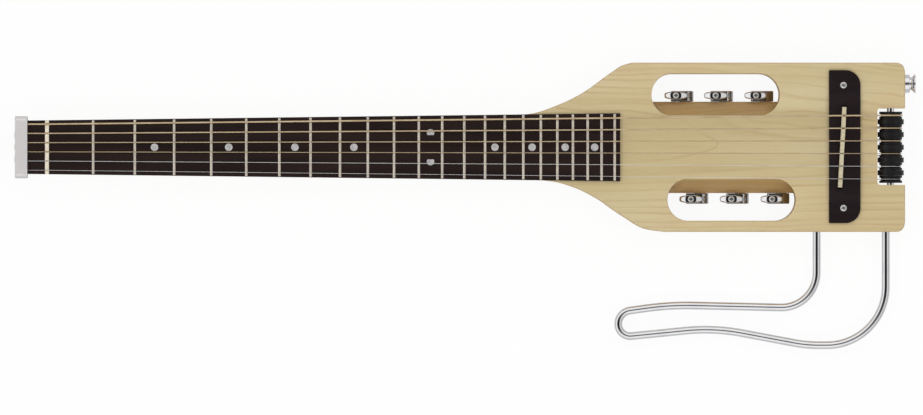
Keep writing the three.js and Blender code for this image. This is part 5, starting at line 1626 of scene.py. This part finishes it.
def socket():
    centre = (0, SOCKET_Y, SOCKET_Z)
    start = TAIL_X - SOCKET_LENGTH + SEAM
    end = TAIL_X + SOCKET_NUT_LENGTH + SEAM
    barrel = turned([
        (SOCKET_BORE, start), (SOCKET_RADIUS, start), (SOCKET_RADIUS, end), (SOCKET_BORE, end),
    ], "x", centre)
    finished(barrel, "socket_barrel", CHROME, ["output_socket"])
    near, far = TAIL_X + SEAM, TAIL_X + SOCKET_NUT_LENGTH
    bore = SOCKET_RADIUS + GAP
    middle = SOCKET_NUT_EDGE_MIDDLE
    collar = turned([
        (bore, near), (SOCKET_NUT - SOCKET_NUT_FOOT_EDGE, near),
        (SOCKET_NUT, near + SOCKET_NUT_FOOT_EDGE), (SOCKET_NUT, far - SOCKET_NUT_EDGE),
        (SOCKET_NUT - middle, far - middle), (SOCKET_NUT - SOCKET_NUT_EDGE, far), (bore, far),
    ], "x", centre)
    finished(collar, "socket_collar", CHROME, ["socket_nut"])
    foot = far + SEAM
    waist_end = foot + FLANGE_WAIST_LENGTH
    tip = waist_end + FLANGE_THICKNESS
    wide, flare_end = FLANGE_RADIUS - FLANGE_FLARE_INSIDE_RIM, waist_end + FLANGE_FLARE_END
    flare = [(lerp(FLANGE_WAIST, wide, share ** 3), lerp(foot, flare_end, share))
             for share in evenly(0, 1, 10)]
    middle = FLANGE_EDGE_MIDDLE
    flange = turned([
        (SOCKET_BORE, foot), *flare,
        (FLANGE_RADIUS, waist_end + FLANGE_RIM_START), (FLANGE_RADIUS, tip - FLANGE_EDGE),
        (FLANGE_RADIUS - middle, tip - middle), (FLANGE_RADIUS - FLANGE_EDGE, tip),
        (SOCKET_BORE + FLANGE_MOUTH, tip), (SOCKET_BORE, tip - FLANGE_MOUTH),
    ], "x", centre)
    return finished(flange, "strap_flange_ring", CHROME, ["strap_flange"])


# Lap rest

def rest_plan(nodes, inputs):
    """One rod along the base line, each corner turned on its own bend radius."""
    line = nodes.shape("MeshToCurve", Mesh=inputs["Base"])
    bend = nodes.shape("InputNamedAttribute", {"data_type": "FLOAT"}, Name="bend")
    bent = nodes.shape("FilletCurve", {"mode": "POLY"}, Curve=line, Radius=bend, Limit_Radius=False,
                       Count=inputs["Bend steps"])
    return swept(nodes, bent, inputs)


def lap_rest():
    side = -BODY_HALF_WIDTH
    corners = [(FRONT_LEG_X - REST_LENGTH * along, side - REST_DROP * out, MIDDLE_Z)
               for along, out in REST_SHARES]
    points = [
        (FRONT_LEG_X, side + ROD_INSERTION, MIDDLE_Z), *corners,
        (REAR_LEG_X, side - REST_DROP, MIDDLE_Z), (REAR_LEG_X, side + ROD_INSERTION, MIDDLE_Z),
    ]
    bends = [0.0, *map(float, REST_BENDS), float(REAR_BEND), 0.0]
    sizes = {"Radius": ROD_RADIUS, "Sides": 40, "Bend steps": 24}
    made = grown("rest_line", line_form(points, bend=bends), sizes, rest_plan, CHROME)
    return finished(made, "chrome_lap_rest", None, ["lap_rest"], "lap_rest_body", crease=60)


body_and_neck()
board()
frets()
dots()
nut()
for string_index in range(STRING_COUNT):
    string(string_index)
head_piece()
for screw_index, screw_y in enumerate(HEAD_SCREW_Y):
    head_screw(screw_index + 1, screw_y)
tuners()
tailpiece()
bridge()
saddle()
bridge_screws()
socket()
lap_rest()
for inside, its_finish in (("truss_rod", STEEL), ("pickup_strip", GREY_METAL), ("pickup_lead", BLACK)):
    frame["nodes"][inside].data.materials.clear()
    frame["nodes"][inside].data.materials.append(its_finish)


# Floor, light and camera

VIEW_CENTRE = Vector((-0.14704, -0.04818, 0.036))
VIEW_WIDTH = 0.73875
LENS = 600
SENSOR = 36
FLOOR_HALF = 6
FLOOR_Z = -0.0002
FLOOR_TONE = 0.92
FLOOR_IN_MIRRORS = 0.62
LIGHT_ON_OBJECT = 0.32


def seen_directly(nodes):
    """1 for what the camera, a mirror or glass looks at, 0 for what only lights the object."""
    path = nodes.node("ShaderNodeLightPath", output="Is Camera Ray")
    straight = path.maths("MAXIMUM", path.also("Is Transmission Ray"))
    return straight, path.also("Is Glossy Ray")


def floor():
    material = bpy.data.materials.new("pale_floor")
    material.use_nodes = True
    nodes = Nodes(material.node_tree)
    material.node_tree.nodes.clear()
    straight, mirrored = seen_directly(nodes)
    matt = nodes.node("ShaderNodeBsdfDiffuse", inputs={"Color": (*[FLOOR_TONE] * 3, 1)})
    brightness = straight + mirrored * FLOOR_IN_MIRRORS
    glow = nodes.node("ShaderNodeEmission", inputs={"Color": (1, 1, 1, 1), "Strength": brightness})
    seen = straight.maths("MAXIMUM", mirrored) * FLOOR_TONE
    surface = nodes.node("ShaderNodeMixShader", inputs={0: seen, 1: matt, 2: glow})
    nodes.node("ShaderNodeOutputMaterial", inputs={"Surface": surface})
    half = FLOOR_HALF
    mesh = bpy.data.meshes.new("floor")
    corners = [(-half, -half), (half, -half), (half, half), (-half, half)]
    mesh.from_pydata([(x, y, FLOOR_Z) for x, y in corners], [], [(0, 1, 2, 3)])
    mesh.materials.append(material)
    made = added("floor", mesh)


def world():
    """Even pale light all round; in mirrors a dark patch overhead and a grey band near the horizon."""
    sky = bpy.data.worlds.new("studio")
    sky.use_nodes = True
    bpy.context.scene.world = sky
    nodes = Nodes(sky.node_tree)
    sky.node_tree.nodes.clear()
    straight, mirrored = seen_directly(nodes)
    way = nodes.node("ShaderNodeTexCoord", output="Generated")
    x, y, z = nodes.parts(way)
    patch = nodes.eased(x.maths("ABSOLUTE"), 0.66, 0.48) * nodes.eased(y.maths("ABSOLUTE"), 0.55, 0.0)
    overhead = patch * nodes.eased(z, 0.0, 0.2)
    low_band = nodes.eased(z, 0.5, 0.0)
    far_side = nodes.eased(x, 0.1, 0.9)
    mirror_light = (1.0 - overhead * 0.98) * (1.0 - low_band * 0.55) * (1.0 - far_side * 0.25)
    strength = LIGHT_ON_OBJECT + (1.0 - LIGHT_ON_OBJECT) * straight
    strength = strength + mirrored * (mirror_light - LIGHT_ON_OBJECT)
    back = nodes.node("ShaderNodeBackground", inputs={"Color": (1, 1, 1, 1), "Strength": strength})
    nodes.node("ShaderNodeOutputWorld", inputs={"Surface": back})


def overhead_light(name, spread, strength):
    """Wide soft light from straight above, which metal doesn't mirror."""
    data = bpy.data.lights.new(name, "SUN")
    data.angle = math.radians(spread)
    data.energy = strength
    added(name, data).visible_glossy = False


def camera():
    data = bpy.data.cameras.new("camera")
    data.lens = LENS
    data.sensor_width = SENSOR
    data.clip_end = 100
    made = added("camera", data)
    made.location = VIEW_CENTRE + Vector((0, 0, VIEW_WIDTH * LENS / SENSOR))
    bpy.context.scene.camera = made


floor()
world()
overhead_light("wide_lamp", spread=60, strength=2.1)
camera()
bpy.context.scene.view_settings.view_transform = "Standard"
